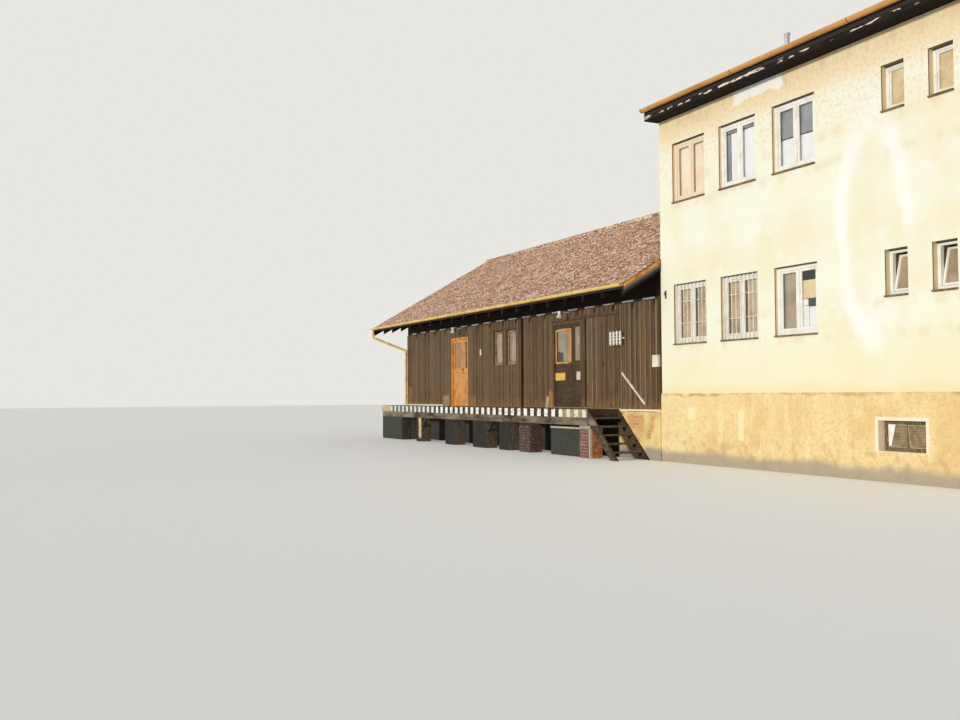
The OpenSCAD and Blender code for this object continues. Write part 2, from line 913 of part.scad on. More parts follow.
// The rafters are shared out evenly between the block and the left gable
first_rafter_x = -verge_board_t - rafter_w;
last_rafter_x = -shed_l + shed_wall_t + infill_t;
rafter_bays = ceil((first_rafter_x - last_rafter_x) / rafter_pitch);
rafter_step = (first_rafter_x - last_rafter_x) / rafter_bays;
rafter_xs = concat(
    [for (i = [0:rafter_bays]) first_rafter_x - i * rafter_step],
    [roof_left_x]
);

module rafter(x) {
    foot = -shed_eave + rafter_over;
    head = shed_mid_y - ridge_beam_w / 2;
    profile_x(x, rafter_w, [
        [foot, rafter_under(foot)], [head, rafter_under(head)],
        [head, shed_under(head) - seat], [foot, shed_under(foot) - seat]
    ]);
}

module shed_rafters() {
    color(dark_timber) placed()
        for (x = rafter_xs) {
            rafter(x);
            shed_back() rafter(x);
        }
}

// In each bay a board closes the space between two rafters above the wall, and a pale
// slat stands on the boarding's top edge
module bay_infill(x) {
    bay = rafter_step - rafter_w;
    profile_x(x + rafter_w + seat, bay - 2 * seat, [
        [boarding_t, rafter_under(boarding_t)],
        [boarding_t + infill_t, rafter_under(boarding_t + infill_t)],
        [boarding_t + infill_t, shed_under(boarding_t + infill_t) - seat],
        [boarding_t, shed_under(boarding_t) - seat]
    ]);
    box(x + rafter_w + (bay - slat_l) / 2, boarding_t - infill_t, boarding_top_z,
        slat_l, infill_t, slat_h);
}

module eave_infill() {
    color(white_paint) placed()
        for (i = [1:rafter_bays]) {
            bay_infill(rafter_xs[i]);
            shed_back() bay_infill(rafter_xs[i]);
        }
}

// A board up one slope of a verge, from y0 to y1
module verge_board(x, y0, y1) {
    depth = verge_board_h / cos(shed_pitch);
    profile_x(x, verge_board_t, [
        [y0, shed_top(y0) - depth], [y1, shed_top(y1) - depth],
        [y1, shed_top(y1)], [y0, shed_top(y0)]
    ]);
}

module verge_boards() {
    color(varnish_orange) placed() {
        verge_board(-shed_l - shed_verge, -shed_eave, shed_mid_y);
        shed_back() verge_board(-shed_l - shed_verge, -shed_eave, shed_mid_y - 1);
        translate([verge_board_t, 0, 0])
            verge_board(-verge_board_t, -shed_eave, -plinth_proud);
    }
}

module shed_gutter() {
    gutter(-shed_l - shed_verge, shed_l + shed_verge, shed_gutter_y, shed_gutter_z,
        shed_gutter_r);
}

module shed_gutters() {
    color(ochre_metal) placed() {
        shed_gutter();
        shed_back() shed_gutter();
    }
}

module shed_pipe() {
    wall_y = -pipe_gap - pipe_r;
    wall_x = -shed_l + pipe_r + 10;
    outlet_x = -shed_l - shed_verge + 90;
    downpipe([
        [outlet_x, shed_gutter_y, shed_gutter_z - shed_gutter_r],
        [outlet_x, shed_gutter_y, shed_gutter_z - shed_gutter_r - pipe_drop],
        [wall_x, wall_y, pipe_bend_z],
        [wall_x, wall_y, floor_z + 40]
    ], [floor_z + 300, (floor_z + pipe_bend_z) / 2, pipe_bend_z - 150]);
}

module shed_downpipes() {
    color(ochre_metal) placed() {
        shed_pipe();
        shed_back() shed_pipe();
    }
}

module shed_window_frames() {
    color(white_paint) placed()
        for (w = shed_windows)
            window_frame(w, shed_reveal);
}

module shed_window_glass() {
    color(pane) placed()
        for (w = shed_windows)
            window_pane(w, shed_reveal);
}

// Drip boards over the shed's windows and its second door
module hood(x, l, z) {
    box(x - hood_side, -hood_out, z, l + 2 * hood_side, hood_out, hood_t);
}

module window_hoods() {
    color(brown_boards) placed() {
        for (w = shed_windows)
            hood(w[0], w[2], w[1] + w[3] + 20);
        hood(second_door_left, second_door_w, floor_z + second_door_h + 20);
    }
}

// The pins of one jamb's hinges: dir is 1 on a left jamb and -1 on a right jamb
module hinge_pins(jamb, dir, heights) {
    for (z = heights) {
        translate([jamb + dir * pin_off, pin_y, z - 24]) cylinder(h = 24, r = barrel_r);
        translate([jamb + dir * pin_off, pin_y, z - 24])
            cylinder(h = 24 + barrel_h, r = pin_r);
        box(min(jamb, jamb + dir * pin_off), pin_y - pin_r, z - 24, pin_off, 2 * pin_r, 24);
    }
}

// The barrels that turn on those pins, with the flaps that hold them to the leaf
module hinge_barrels(jamb, dir, heights) {
    axis_x = jamb + dir * pin_off;
    flap = pin_off - pin_r - pin_gap - 0.7;
    for (z = heights)
        difference() {
            union() {
                translate([axis_x, pin_y, z + pin_gap]) cylinder(h = barrel_h, r = barrel_r);
                box(min(axis_x, axis_x + dir * 70), leaf_in_y - 1, z + pin_gap,
                    70, flap + 1, barrel_h);
            }
            translate([axis_x, pin_y, z - 1]) cylinder(h = barrel_h + 3, r = pin_r + pin_gap);
        }
}

function leaf_foot() = floor_z + threshold_h + leaf_gap;
function leaf_height(door_h) = door_h - threshold_h - door_frame_w - 2 * leaf_gap;
function hinge_heights(door_h) = [
    leaf_foot() + hinge_inset,
    leaf_foot() + leaf_height(door_h) - hinge_inset
];
function clear_width(door_w) = door_w - 2 * door_frame_w - 2 * leaf_gap - meeting_gap;

module door_frame(left, w, h) {
    edge = door_frame_w + door_stop_w;
    difference() {
        box(left, 0, floor_z, w, door_frame_d, h);
        box(left + door_frame_w, door_stop_d, floor_z + threshold_h,
            w - 2 * door_frame_w, door_frame_d, h - threshold_h - door_frame_w);
        box(left + edge, -1, floor_z + threshold_h, w - 2 * edge, door_stop_d + 2,
            h - threshold_h - edge);
    }
    hinge_pins(left + door_frame_w, 1, hinge_heights(h));
    hinge_pins(left + w - door_frame_w, -1, hinge_heights(h));
}

module door_frames() {
    color(varnish_orange) placed() {
        door_frame(first_door_left, first_door_w, first_door_h);
        door_frame(second_door_left, second_door_w, second_door_h);
        door_frame(goods_door_left, goods_door_w, goods_door_h);
    }
}

// A framed leaf with a pane above and a sunk panel below
module framed_leaf(x, w, h) {
    z = leaf_foot();
    panel_h = light_sill - lock_rail_h - stile_w;
    difference() {
        box(x, leaf_y, z, w, leaf_t, h);
        box(x + stile_w, leaf_y - 1, z + light_sill, w - 2 * stile_w, leaf_t + 2,
            h - light_sill - stile_w);
        for (y = [leaf_y - 1, leaf_in_y - panel_sink])
            box(x + stile_w, y, z + stile_w, w - 2 * stile_w, panel_sink + 1, panel_h);
    }
}

module leaf_pane(x, w, h) {
    box(x + stile_w, leaf_y + leaf_t / 2 - glass_t / 2, leaf_foot() + light_sill,
        w - 2 * stile_w, glass_t, h - light_sill - stile_w);
}

function left_leaf_x(door_left) = door_left + door_frame_w + leaf_gap;
function right_leaf_x(door_left, door_w, leaf_w) =
    door_left + door_w - door_frame_w - leaf_gap - leaf_w;

first_leaf_w = clear_width(first_door_w) - first_side_leaf_w;
first_side_x = right_leaf_x(first_door_left, first_door_w, first_side_leaf_w);
second_leaf_w = clear_width(second_door_w) - second_side_leaf_w;
second_side_x = right_leaf_x(second_door_left, second_door_w, second_side_leaf_w);
goods_leaf_w = clear_width(goods_door_w) / 2;

module first_door_leaf() {
    color(varnish_orange) placed() {
        framed_leaf(left_leaf_x(first_door_left), first_leaf_w, leaf_height(first_door_h));
        hinge_barrels(first_door_left + door_frame_w, 1, hinge_heights(first_door_h));
    }
}

module first_door_glass() {
    color(pane) placed()
        leaf_pane(left_leaf_x(first_door_left), first_leaf_w, leaf_height(first_door_h));
}

module first_door_side_leaf() {
    color(varnish_orange) placed() {
        framed_leaf(first_side_x, first_side_leaf_w, leaf_height(first_door_h));
        hinge_barrels(-first_door_x - door_frame_w, -1, hinge_heights(first_door_h));
    }
}

module first_door_side_glass() {
    color(pane) placed() leaf_pane(first_side_x, first_side_leaf_w, leaf_height(first_door_h));
}

module second_door_leaf() {
    color(dark_timber) placed() {
        framed_leaf(left_leaf_x(second_door_left), second_leaf_w, leaf_height(second_door_h));
        hinge_barrels(second_door_left + door_frame_w, 1, hinge_heights(second_door_h));
    }
}

module second_door_glass() {
    color(pane) placed()
        leaf_pane(left_leaf_x(second_door_left), second_leaf_w, leaf_height(second_door_h));
}

module second_door_side_leaf() {
    color(dark_timber) placed() {
        framed_leaf(second_side_x, second_side_leaf_w, leaf_height(second_door_h));
        hinge_barrels(-second_door_x - door_frame_w, -1, hinge_heights(second_door_h));
    }
}

module second_door_side_glass() {
    color(pane) placed()
        leaf_pane(second_side_x, second_side_leaf_w, leaf_height(second_door_h));
}

// A boarded leaf with two ledges and a diagonal brace on its inner face
module boarded_leaf(x, w, h, dir) {
    z = leaf_foot();
    board_t = leaf_t - panel_sink;
    low = z + hinge_inset - 10;
    high = z + h - hinge_inset - 10;
    inset = 90;
    box(x, leaf_y, z, w, board_t, h);
    for (zz = [low, high])
        box(x, leaf_in_y - panel_sink - 1, zz, w, panel_sink + 1, stile_w);
    near = dir > 0 ? x + inset : x + w - inset;
    far = dir > 0 ? x + w - inset : x + inset;
    profile_y(leaf_in_y - panel_sink - 1, panel_sink + 1, [
        [near - dir * stile_w / 2, low + stile_w - 1], [near + dir * stile_w / 2, low + stile_w - 1],
        [far + dir * stile_w / 2, high + 1], [far - dir * stile_w / 2, high + 1]
    ]);
}

module goods_door_left_leaf() {
    color(brown_boards) placed() {
        boarded_leaf(left_leaf_x(goods_door_left), goods_leaf_w, leaf_height(goods_door_h), 1);
        hinge_barrels(goods_door_left + door_frame_w, 1, hinge_heights(goods_door_h));
    }
}

module goods_door_right_leaf() {
    color(brown_boards) placed() {
        boarded_leaf(right_leaf_x(goods_door_left, goods_door_w, goods_leaf_w), goods_leaf_w,
            leaf_height(goods_door_h), -1);
        hinge_barrels(-goods_door_x - door_frame_w, -1, hinge_heights(goods_door_h));
    }
}

module platform_deck() {
    color(dark_timber) placed()
        box(-shed_l, -platform_d, floor_z - deck_t, platform_l,
            platform_d - footing_proud, deck_t);
}

module platform_edge() {
    color(white_paint) placed()
        box(-shed_l, -platform_d - edge_t, beam_top_z, platform_l, edge_t, edge_h);
}

// A strut that leans from a pier's right side at x up to the beam
module beam_strut(x) {
    profile_y(-platform_d + (beam_t - strut_t) / 2, strut_t, [
        [x, pier_top_z - strut_run], [x + strut_run, pier_top_z],
        [x + strut_run, pier_top_z + 1], [x + strut_run - 1.4 * strut_t, pier_top_z + 1],
        [x, pier_top_z - strut_run + 1.4 * strut_t]
    ]);
}

module platform_beam() {
    color(dark_timber) placed() {
        box(-shed_l, -platform_d, pier_top_z, platform_l, beam_t, beam_h);
        for (p = [piers[0], piers[2]])
            beam_strut(-platform_x - p[0] + p[1]);
    }
}

joist_bays = ceil((platform_l - joist_w) / joist_pitch);

// The joists, with a riser board on the last one's face above the first tread
module platform_joists() {
    step = (platform_l - joist_w) / joist_bays;
    color(dark_timber) placed() {
        for (i = [0:joist_bays])
            box(-shed_l + i * step, -platform_d, beam_top_z, joist_w,
                platform_d - footing_proud, edge_h - deck_t);
        box(-platform_x - 1, -platform_d + stringer_t, beam_top_z, riser_t + 1,
            platform_d - footing_proud - 2 * stringer_t, edge_h - deck_t);
    }
}

module platform_piers() {
    corner_x = -platform_x + corner_pier_out - corner_pier_w;
    color(pale_stone) placed() {
        box(-shed_l, -platform_d, 0, abutment_l, platform_d - footing_proud, pier_top_z);
        for (p = piers)
            box(-platform_x - p[0], -platform_d, 0, p[1], pier_d, pier_top_z);
    }
    color(brick_red) placed() {
        box(corner_x, -platform_d, 0, corner_pier_w, pier_d, pier_top_z);
        box(corner_x - low_wall_l, -platform_d + beam_t, 0, low_wall_l, low_wall_t,
            low_wall_h);
        box(corner_x - low_wall_l, -platform_d + beam_t - coping_out, low_wall_h - 1,
            low_wall_l, low_wall_t + 2 * coping_out, coping_t + 1);
    }
}

// The stringers follow the slope of the steps, cut plumb at the platform and level
// at the ground
module stringer(y) {
    run = going / step_rise;
    profile_y(y, stringer_t, [
        [-platform_x, floor_z], [-platform_x, floor_z - stringer_h],
        [-platform_x + (floor_z - stringer_h) * run, 0], [-platform_x + floor_z * run, 0]
    ]);
}

stringer_outer_y = -platform_d;
stringer_inner_y = -footing_proud - stringer_t;

module stair_stringers() {
    color(dark_timber) placed() {
        stringer(stringer_outer_y);
        stringer(stringer_inner_y);
    }
}

module stair_treads() {
    y = stringer_outer_y + stringer_t;
    color(dark_timber) placed()
        for (i = [1:rises - 1])
            box(-platform_x + (i - 1) * going + 8, y, floor_z - i * step_rise - tread_t,
                going - 8, stringer_inner_y - y, tread_t);
}

// A sloping batten fixed to the boarding above the steps
module stair_handrail() {
    x0 = -platform_x + rail_start;
    x1 = x0 + rail_run;
    z0 = floor_z + rail_top;
    z1 = z0 - rail_fall;
    color(white_paint) placed() profile_y(-rail_t, rail_t, [
        [x0, z0], [x0, z0 - rail_t], [x1, z1 - rail_t], [x1, z1]
    ]);
}

// A lamp on an arm from the wall: a shade over a short body
module lamp(x) {
    arm_z = boarding_top_z - 25;
    body_z = arm_z - 55;
    translate([x, -lamp_out, body_z]) cylinder(h = lamp_body_h, r = lamp_body_r);
    translate([x, -lamp_out, body_z + 2 - lamp_shade_h])
        cylinder(h = lamp_shade_h, r1 = lamp_r, r2 = lamp_body_r + 5);
    box(x - lamp_arm / 2, -lamp_out, arm_z, lamp_arm, lamp_out, lamp_arm);
}

module lamps() {
    color(white_paint) placed()
        for (x = [-first_lamp_x, -second_lamp_x])
            lamp(x);
}

// A box on the boarding with a conduit strip up to the eaves
module meter_box() {
    top = meter_z + meter_h;
    color(white_paint) placed() {
        box(-meter_x - meter_w, -meter_d, meter_z, meter_w, meter_d, meter_h);
        box(-meter_x - (meter_w + strip_w) / 2, -strip_d, top - 1, strip_w, strip_d,
            boarding_top_z - top);
    }
}

// Four porcelain insulators on a bracket, each with four skirts
module insulator_rack() {
    x = -rack_x - rack_l;
    arm = 20;
    end = 45;
    step = (rack_l - 2 * end) / 3;
    color(white_paint) placed() {
        box(x, -arm, rack_z - arm, rack_l, arm, 2 * arm);
        for (i = [0:3]) {
            ix = x + end + i * step;
            foot = rack_z - insulator_h / 2;
            box(ix - arm / 2, -rack_out, rack_z - arm / 2, arm, rack_out, arm);
            translate([ix, -rack_out, foot]) cylinder(h = insulator_h, r = insulator_r);
            for (share = [0.12, 0.34, 0.58, 0.8])
                translate([ix, -rack_out, foot + share * insulator_h])
                    cylinder(h = 24, r = insulator_r + 16);
        }
    }
}

plinth_long_walls();
plinth_end_walls();
station_floors();
station_front_wall();
station_back_wall();
station_left_wall();
station_right_wall();
station_roof_front();
station_roof_back();
station_eaves();
station_gutters();
station_downpipes();
roof_flue();
ground_floor_windows();
upper_floor_windows();
cellar_window();
ground_floor_glass();
upper_floor_glass();
window_sills();
shed_foundation();
shed_end_foundation();
shed_floor();
shed_front_wall();
shed_wall_over_doors();
shed_back_wall();
shed_left_wall();
shed_roof_front();
shed_roof_back();
ridge_tiles();
shed_ridge_beam();
shed_rafters();
eave_infill();
verge_boards();
shed_gutters();
shed_downpipes();
shed_window_frames();
shed_window_glass();
window_hoods();
door_frames();
first_door_leaf();
first_door_glass();
first_door_side_leaf();
first_door_side_glass();
second_door_leaf();
second_door_glass();
second_door_side_leaf();
second_door_side_glass();
goods_door_left_leaf();
goods_door_right_leaf();
platform_deck();
platform_edge();
platform_beam();
platform_joists();
platform_piers();
stair_stringers();
stair_treads();
stair_handrail();
lamps();
meter_box();
insulator_rack();
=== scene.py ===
import itertools
import math

import bpy
import numpy as np
from mathutils import Matrix, Vector


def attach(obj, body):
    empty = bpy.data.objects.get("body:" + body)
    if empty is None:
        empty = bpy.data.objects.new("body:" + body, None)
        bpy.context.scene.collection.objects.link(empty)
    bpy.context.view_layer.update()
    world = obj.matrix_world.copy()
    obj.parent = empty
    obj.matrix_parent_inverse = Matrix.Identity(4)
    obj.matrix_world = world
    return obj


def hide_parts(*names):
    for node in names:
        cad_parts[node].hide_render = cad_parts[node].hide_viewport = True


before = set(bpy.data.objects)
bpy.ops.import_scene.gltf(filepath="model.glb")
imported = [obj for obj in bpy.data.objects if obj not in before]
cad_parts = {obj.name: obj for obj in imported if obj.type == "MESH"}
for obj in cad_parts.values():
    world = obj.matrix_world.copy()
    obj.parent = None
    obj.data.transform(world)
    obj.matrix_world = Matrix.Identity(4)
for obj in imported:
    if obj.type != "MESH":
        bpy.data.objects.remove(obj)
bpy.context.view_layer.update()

# Every length below is in metres in the drawing's own axes: x runs along the front from the
# block's front left corner, y runs into the building and z is up. SHIFT moves that corner to
# its place in the model. Pairs such as INNER_PANE are the y of a front and a back face.
SHIFT = np.array([1.035, -4.395, 0.0])
RNG = np.random.default_rng(7)

STATION_L = 13.94
STATION_D = 9.4
SHED_L = 15.28
SHED_D = 7.32
SHED_RIDGE_Y = 3.66
VERGE_X = -16.05
FLOOR_Z = 1.14
BOARDING_TOP = 3.64
BIG_XS = [0.472, 2.047, 3.622, 9.213, 10.788, 12.363]
SMALL_XS = [6.262, 7.208]
SIDE_XS = [2.2475, 6.0475]
SILLS = [2.56, 5.68]
WINDOW_W, WINDOW_H = 1.105, 1.33
SMALL_W, SMALL_H = 0.47, 0.80
SHED_WINDOW_W = 0.585
SHED_WINDOW_Z = (2.37, 3.37)
FIRST_DOOR = (-11.42, -10.16, 3.34)
SECOND_DOOR = (-4.85, -3.39, 3.40)
GOODS_DOOR = (-3.31, -1.65, 3.50)
LEAF_FACES = 0.038 + 0.083
CLOTH_Y = 0.160
INNER_PANE, OUTER_PANE = (0.150, 0.154), (0.105, 0.111)
CARD, DOOR_BOX = (0.118, 0.121), (0.0645, 0.0685)
THREAD = 0.004
TILE_W, TILE_GAUGE = 0.178, 0.155
STEPS_X, GOING, RISE = -1.64, 0.205, 0.19
X, Y, Z = np.eye(3)


# Materials


def linear(code):
    """The sRGB hex colour code as linear red, green, blue and alpha."""
    srgb = np.array([int(code[i:i + 2], 16) for i in (1, 3, 5)]) / 255
    low = srgb / 12.92
    high = ((srgb + 0.055) / 1.055) ** 2.4
    return (*np.where(srgb <= 0.04045, low, high), 1.0)


def add(tree, kind, inputs=None, **settings):
    """Add a node with its settings. An input that is a socket is linked, any other is set."""
    made = tree.nodes.new("ShaderNode" + kind)
    for name, value in settings.items():
        setattr(made, name, value)
    for key, value in (inputs or {}).items():
        if isinstance(value, bpy.types.NodeSocket):
            tree.links.new(value, made.inputs[key])
        else:
            made.inputs[key].default_value = linear(value) if isinstance(value, str) else value
    return made


class Coat:
    """A material in the making: its nodes, the place of each point in the drawing's axes, and
    the colour laid on so far. Shares run from 0 to 1."""

    def __init__(self, name, colour, **sockets):
        self.material = bpy.data.materials.new(name)
        self.material.use_nodes = True
        self.tree = self.material.node_tree
        self.shader = self.tree.nodes["Principled BSDF"]
        for key, value in sockets.items():
            self.shader.inputs[key.replace("_", " ")].default_value = value
        point = add(self.tree, "TexCoord").outputs["Object"]
        self.place = self.vector("SUBTRACT", point, tuple(SHIFT))
        self.colour = colour

    def maths(self, operation, *values, **settings):
        """One step of arithmetic."""
        return add(self.tree, "Math", dict(enumerate(values)), operation=operation,
                   **settings).outputs[0]

    def vector(self, operation, *values):
        """One step of arithmetic on vectors."""
        return add(self.tree, "VectorMath", dict(enumerate(values)), operation=operation).outputs[0]

    def scaled(self, vector, by):
        """A vector times a number."""
        return add(self.tree, "VectorMath", {0: vector, 3: by}, operation="SCALE").outputs[0]

    def both(self, first, second):
        """The product of two shares."""
        return self.maths("MULTIPLY", first, second)

    def axis(self, name, vector=None):
        """One coordinate of a vector, or of each point's place."""
        vector = self.place if vector is None else vector
        return add(self.tree, "SeparateXYZ", {0: vector}).outputs["xyz".index(name)]

    def ramp(self, value, low, high, start=0.0, end=1.0, **settings):
        """A share that goes from start to end while the value goes from low to high."""
        return add(self.tree, "MapRange", {0: value, 1: low, 2: high, 3: start, 4: end},
                   **settings).outputs[0]

    def smooth(self, *values):
        """A ramp with soft ends."""
        return self.ramp(*values, interpolation_type="SMOOTHSTEP")

    def noise(self, scale, detail, place=None):
        """The outputs of a cloudy pattern, its lumps 1 / scale metres across."""
        place = self.place if place is None else place
        return add(self.tree, "TexNoise",
                   {"Vector": place, "Scale": scale, "Detail": detail}).outputs

    def patches(self, size, low=0.4, high=0.6, stretch=(1, 1, 1), detail=4.0, place=None):
        """A share in soft patches about size metres across, longer by stretch."""
        place = self.place if place is None else place
        scale = tuple(1 / (size * s) for s in stretch)
        spread = add(self.tree, "Mapping", {"Vector": place, "Scale": scale}).outputs[0]
        return self.smooth(self.noise(1.0, detail, spread)[0], low, high)

    def region(self, soft, place=None, **limits):
        """1 inside limits such as x=(low, high), fading out over soft metres at each; None is
        open."""
        share = None
        for name, ends in limits.items():
            along = self.axis(name, place)
            for limit, end in zip(ends, (1.0, 0.0)):
                if limit is not None:
                    edge = self.smooth(along, limit - soft, limit + soft, 1.0 - end, end)
                    share = edge if share is None else self.both(share, edge)
        return share

    def ragged(self, size, reach):
        """The place pushed about by up to reach metres, so that an edge drawn on it is ragged."""
        push = self.vector("SUBTRACT", self.noise(1 / size, 5.0)[1], (0.5, 0.5, 0.5))
        return self.vector("ADD", self.place, self.scaled(push, 4 * reach))

    def facing(self, name):
        """How far the surface faces along an axis, from -1 to 1."""
        return self.axis(name, add(self.tree, "NewGeometry").outputs["Normal"])

    def against(self, name):
        """1 on faces that look against an axis."""
        return self.maths("LESS_THAN", self.facing(name), -0.5)

    def jambs(self, name):
        """1 on upright faces that look along the level axis other than the named one."""
        turns = [self.maths("ABSOLUTE", self.facing(each)) for each in (name, "z")]
        return self.maths("LESS_THAN", self.maths("MAXIMUM", *turns), 0.5)

    def tone(self):
        """The random share that each tile or brick carries."""
        return add(self.tree, "Attribute", attribute_name="tone").outputs["Fac"]

    def mixed(self, base, colour, share, most=1.0):
        """The base with a colour over it by a share, at most by the part most of it."""
        if most < 1.0:
            share = self.both(share, most)
        return add(self.tree, "Mix", {0: share, 6: base, 7: colour}, data_type="RGBA").outputs[2]

    def lay(self, colour, most, *shares):
        """Lay a colour on by the product of one or two shares, at most by the part most."""
        share = shares[0] if len(shares) == 1 else self.both(*shares)
        self.colour = self.mixed(self.colour, colour, share, most)

    def mottle(self, colour, most, *pattern, **more):
        """Lay a colour on in patches."""
        self.lay(colour, most, self.patches(*pattern, **more))

    def zone(self, colour, most, soft, place=None, **limits):
        """Lay a colour on inside limits."""
        self.lay(colour, most, self.region(soft, place, **limits))

    def done(self, height, depth, strength=0.5):
        """The finished material: its colour, and bump of a depth in metres from a height share."""
        bump = add(self.tree, "Bump", {"Strength": strength, "Distance": depth, "Height": height})
        self.tree.links.new(bump.outputs[0], self.shader.inputs["Normal"])
        self.tree.links.new(self.colour, self.shader.inputs["Base Color"])
        return self.material


def oval(coat, place):
    """A soft band where a tall oval was once painted out: its middle is where (x - 6.03) / 0.70
    and (z - 4.38) / 1.88 are 1 long together. It fades at its top and at the lower right."""
    across = coat.ramp(coat.axis("x", place), 6.03, 6.73, clamp=False)
    up = coat.ramp(coat.axis("z", place), 4.38, 6.26, clamp=False)
    away = add(coat.tree, "CombineXYZ", {0: across, 1: up}).outputs[0]
    far = add(coat.tree, "VectorMath", {0: away}, operation="LENGTH").outputs[1]
    off = coat.maths("ABSOLUTE", coat.maths("SUBTRACT", far, 1.0))
    faded = coat.region(0.5, place, x=(6.3, None), z=(None, 4.2))
    top = coat.region(0.35, place, z=(5.95, None))
    gone = coat.maths("MULTIPLY_ADD", top, 0.65, faded)
    kept = coat.maths("SUBTRACT", 1.0, gone, use_clamp=True)
    return coat.both(coat.smooth(off, 0.27, 0.05), kept)


def cream_render():
    """Lime render on masonry, weathered: pale cream, sandier low down, peach under the eave."""
    coat = Coat("lime_render_cream", "#fbfbe9", Roughness=0.92)
    rough = coat.ragged(0.9, 0.10)
    coat.mottle("#f7f1d0", 1.0, 1.6, 0.42, 0.70)
    coat.mottle("#fdfdf4", 0.6, 0.55, 0.5, 0.72)
    coat.zone("#f9f1c2", 0.6, 0.6, rough, z=(None, 2.4))
    coat.mottle("#e6cf98", 0.35, 0.035, 0.60, 0.68)
    runs = coat.patches(0.30, 0.44, 0.62, (1, 1, 3.5))
    coat.zone("#f6dca6", 0.75, 0.3, rough, z=(7.0, None))
    coat.lay("#e6c088", 0.35, coat.region(0.4, rough, z=(6.2, None)),
             coat.patches(0.07, 0.46, 0.64, detail=6.0))
    coat.lay("#e6b888", 0.40, coat.region(0.12, rough, z=(7.35, None)), runs)
    for sill in (2.56, 3.09, 5.68, 6.21):
        under = coat.region(0.08, rough, x=(0.4, 13.5), z=(sill - 0.16, sill))
        coat.lay("#e9c492", 0.30, under, runs)
    front = coat.region(0.05, y=(None, 0.3))
    repaired = coat.region(0.03, coat.ragged(0.35, 0.09), x=(2.50, 3.90), z=(7.34, None))
    coat.lay("#fffef4", 0.95, front, repaired)
    spots = coat.region(0.04, coat.ragged(0.4, 0.06), x=(1.15, 1.75), z=(7.25, 7.5))
    coat.lay("#d9ae7c", 0.2, front, spots)
    coat.lay("#fffffa", 0.9, front, oval(coat, rough))
    coat.zone("#ecd49a", 0.35, 0.12, rough, z=(None, 1.62))
    coat.mottle("#dccb98", 0.18, 0.012, 0.35, 0.65, detail=2.0)
    # Painted shade: the window reveals take a peach tint with a dark line along their outer edge,
    # and faces that look down take dark brown for the shade under the lintels.
    shaded_long_jambs = coat.both(coat.jambs("y"), coat.region(0.001, x=(0.45, 13.5)))
    shaded_gable_jambs = coat.both(coat.jambs("x"), coat.region(0.001, x=(13.5, None), y=(0.45, 8.95)))
    coat.lay("#f2d9ac", 0.85, shaded_long_jambs)
    coat.lay("#e6c698", 0.85, shaded_gable_jambs)
    coat.lay("#6f4d2d", 0.85, shaded_long_jambs, coat.region(0.004, y=(None, 0.026)))
    coat.lay("#4a3826", 0.85, coat.against("z"))
    return coat.done(coat.noise(90.0, 6.0)[0], 0.003, 0.7)


def plinth_render():
    """Cement render on the plinth: ochre, washed pale in places, duller and then grey at its foot.
    """
    coat = Coat("cement_render_ochre", "#f9dea2", Roughness=0.9)
    rough = coat.ragged(0.6, 0.08)
    coat.mottle("#f1d092", 1.0, 0.9, 0.42, 0.66)
    coat.mottle("#fdeeb9", 0.7, 0.40, 0.48, 0.70, (0.6, 1, 1.6))
    coat.zone("#fcebb0", 0.6, 0.5, rough, x=(None, 1.2))
    coat.mottle("#e2b074", 0.42, 0.05, 0.48, 0.66, detail=6.0)
    coat.lay("#c79a5e", 0.7, coat.region(0.02, rough, z=(1.46, None)),
             coat.patches(0.5, 0.4, 0.6))
    # Painted shadow: the duller, patchy band below 0.6 m stands for the level shadow across the
    # plinth's foot. Below 0.24 m the render turns grey.
    coat.lay("#c2a676", 0.5, coat.region(0.16, rough, z=(None, 0.6)),
             coat.patches(0.25, 0.48, 0.66))
    coat.zone("#9c978c", 0.8, 0.10, rough, z=(None, 0.24))
    for x, z in (((0.95, 1.20), (0.95, 1.20)), ((2.55, 2.72), (0.55, 1.15))):
        coat.zone("#fff6c8", 0.75, 0.03, coat.ragged(0.3, 0.03), x=x, z=z)
    coat.zone("#fff4de", 0.9, 0.008, x=(6.01, 7.10), y=(None, 0.2), z=(0.50, 1.085))
    coat.mottle("#c39f66", 0.2, 0.015, 0.35, 0.65, detail=2.0)
    return coat.done(coat.noise(70.0, 6.0)[0], 0.004, 0.8)


def footing_render():
    """Thin render over orange brick: cream, bare to the brick in ragged patches, grey at its
    foot, painted dark as shade behind the platform, with a pale ledge along its top."""
    coat = Coat("render_over_brick", "#f0d696", Roughness=0.92)
    along = coat.maths("ADD", coat.axis("x"), coat.axis("y"))
    wall = add(coat.tree, "CombineXYZ", {0: along, 1: coat.axis("z")}).outputs[0]
    brick = add(coat.tree, "TexBrick",
                {"Vector": wall, "Color1": "#c9743f", "Color2": "#dd9a5c", "Mortar": "#dcc08e",
                 "Scale": 1.0, "Mortar Size": 0.006, "Brick Width": 0.26,
                 "Row Height": 0.077}).outputs[0]
    rough = coat.ragged(0.4, 0.08)
    coat.mottle("#dfbd78", 1.0, 0.5, 0.42, 0.64)
    coat.mottle(brick, 0.85, 0.45, 0.56, 0.62, detail=6.0)
    coat.zone(brick, 0.75, 0.05, rough, x=(-1.25, -0.62), z=(0.66, 1.06))
    coat.zone("#8b8a84", 0.8, 0.10, rough, z=(None, 0.26))
    # Painted shade: near black on the footing behind and under the platform, where the deck shades
    # it.
    coat.zone("#2f2c29", 0.96, 0.03, x=(None, -1.66), y=(None, 0.1), z=(None, 1.12))
    coat.zone("#f7ecd0", 0.9, 0.004, z=(1.098, None), x=(-1.66, None))
    # Painted shade: a dark line just under the ledge, for the shade it throws.
    coat.zone("#51402c", 0.9, 0.003, z=(1.082, 1.096), x=(-1.3, -0.1))
    return coat.done(coat.noise(60.0, 6.0)[0], 0.004, 0.8)


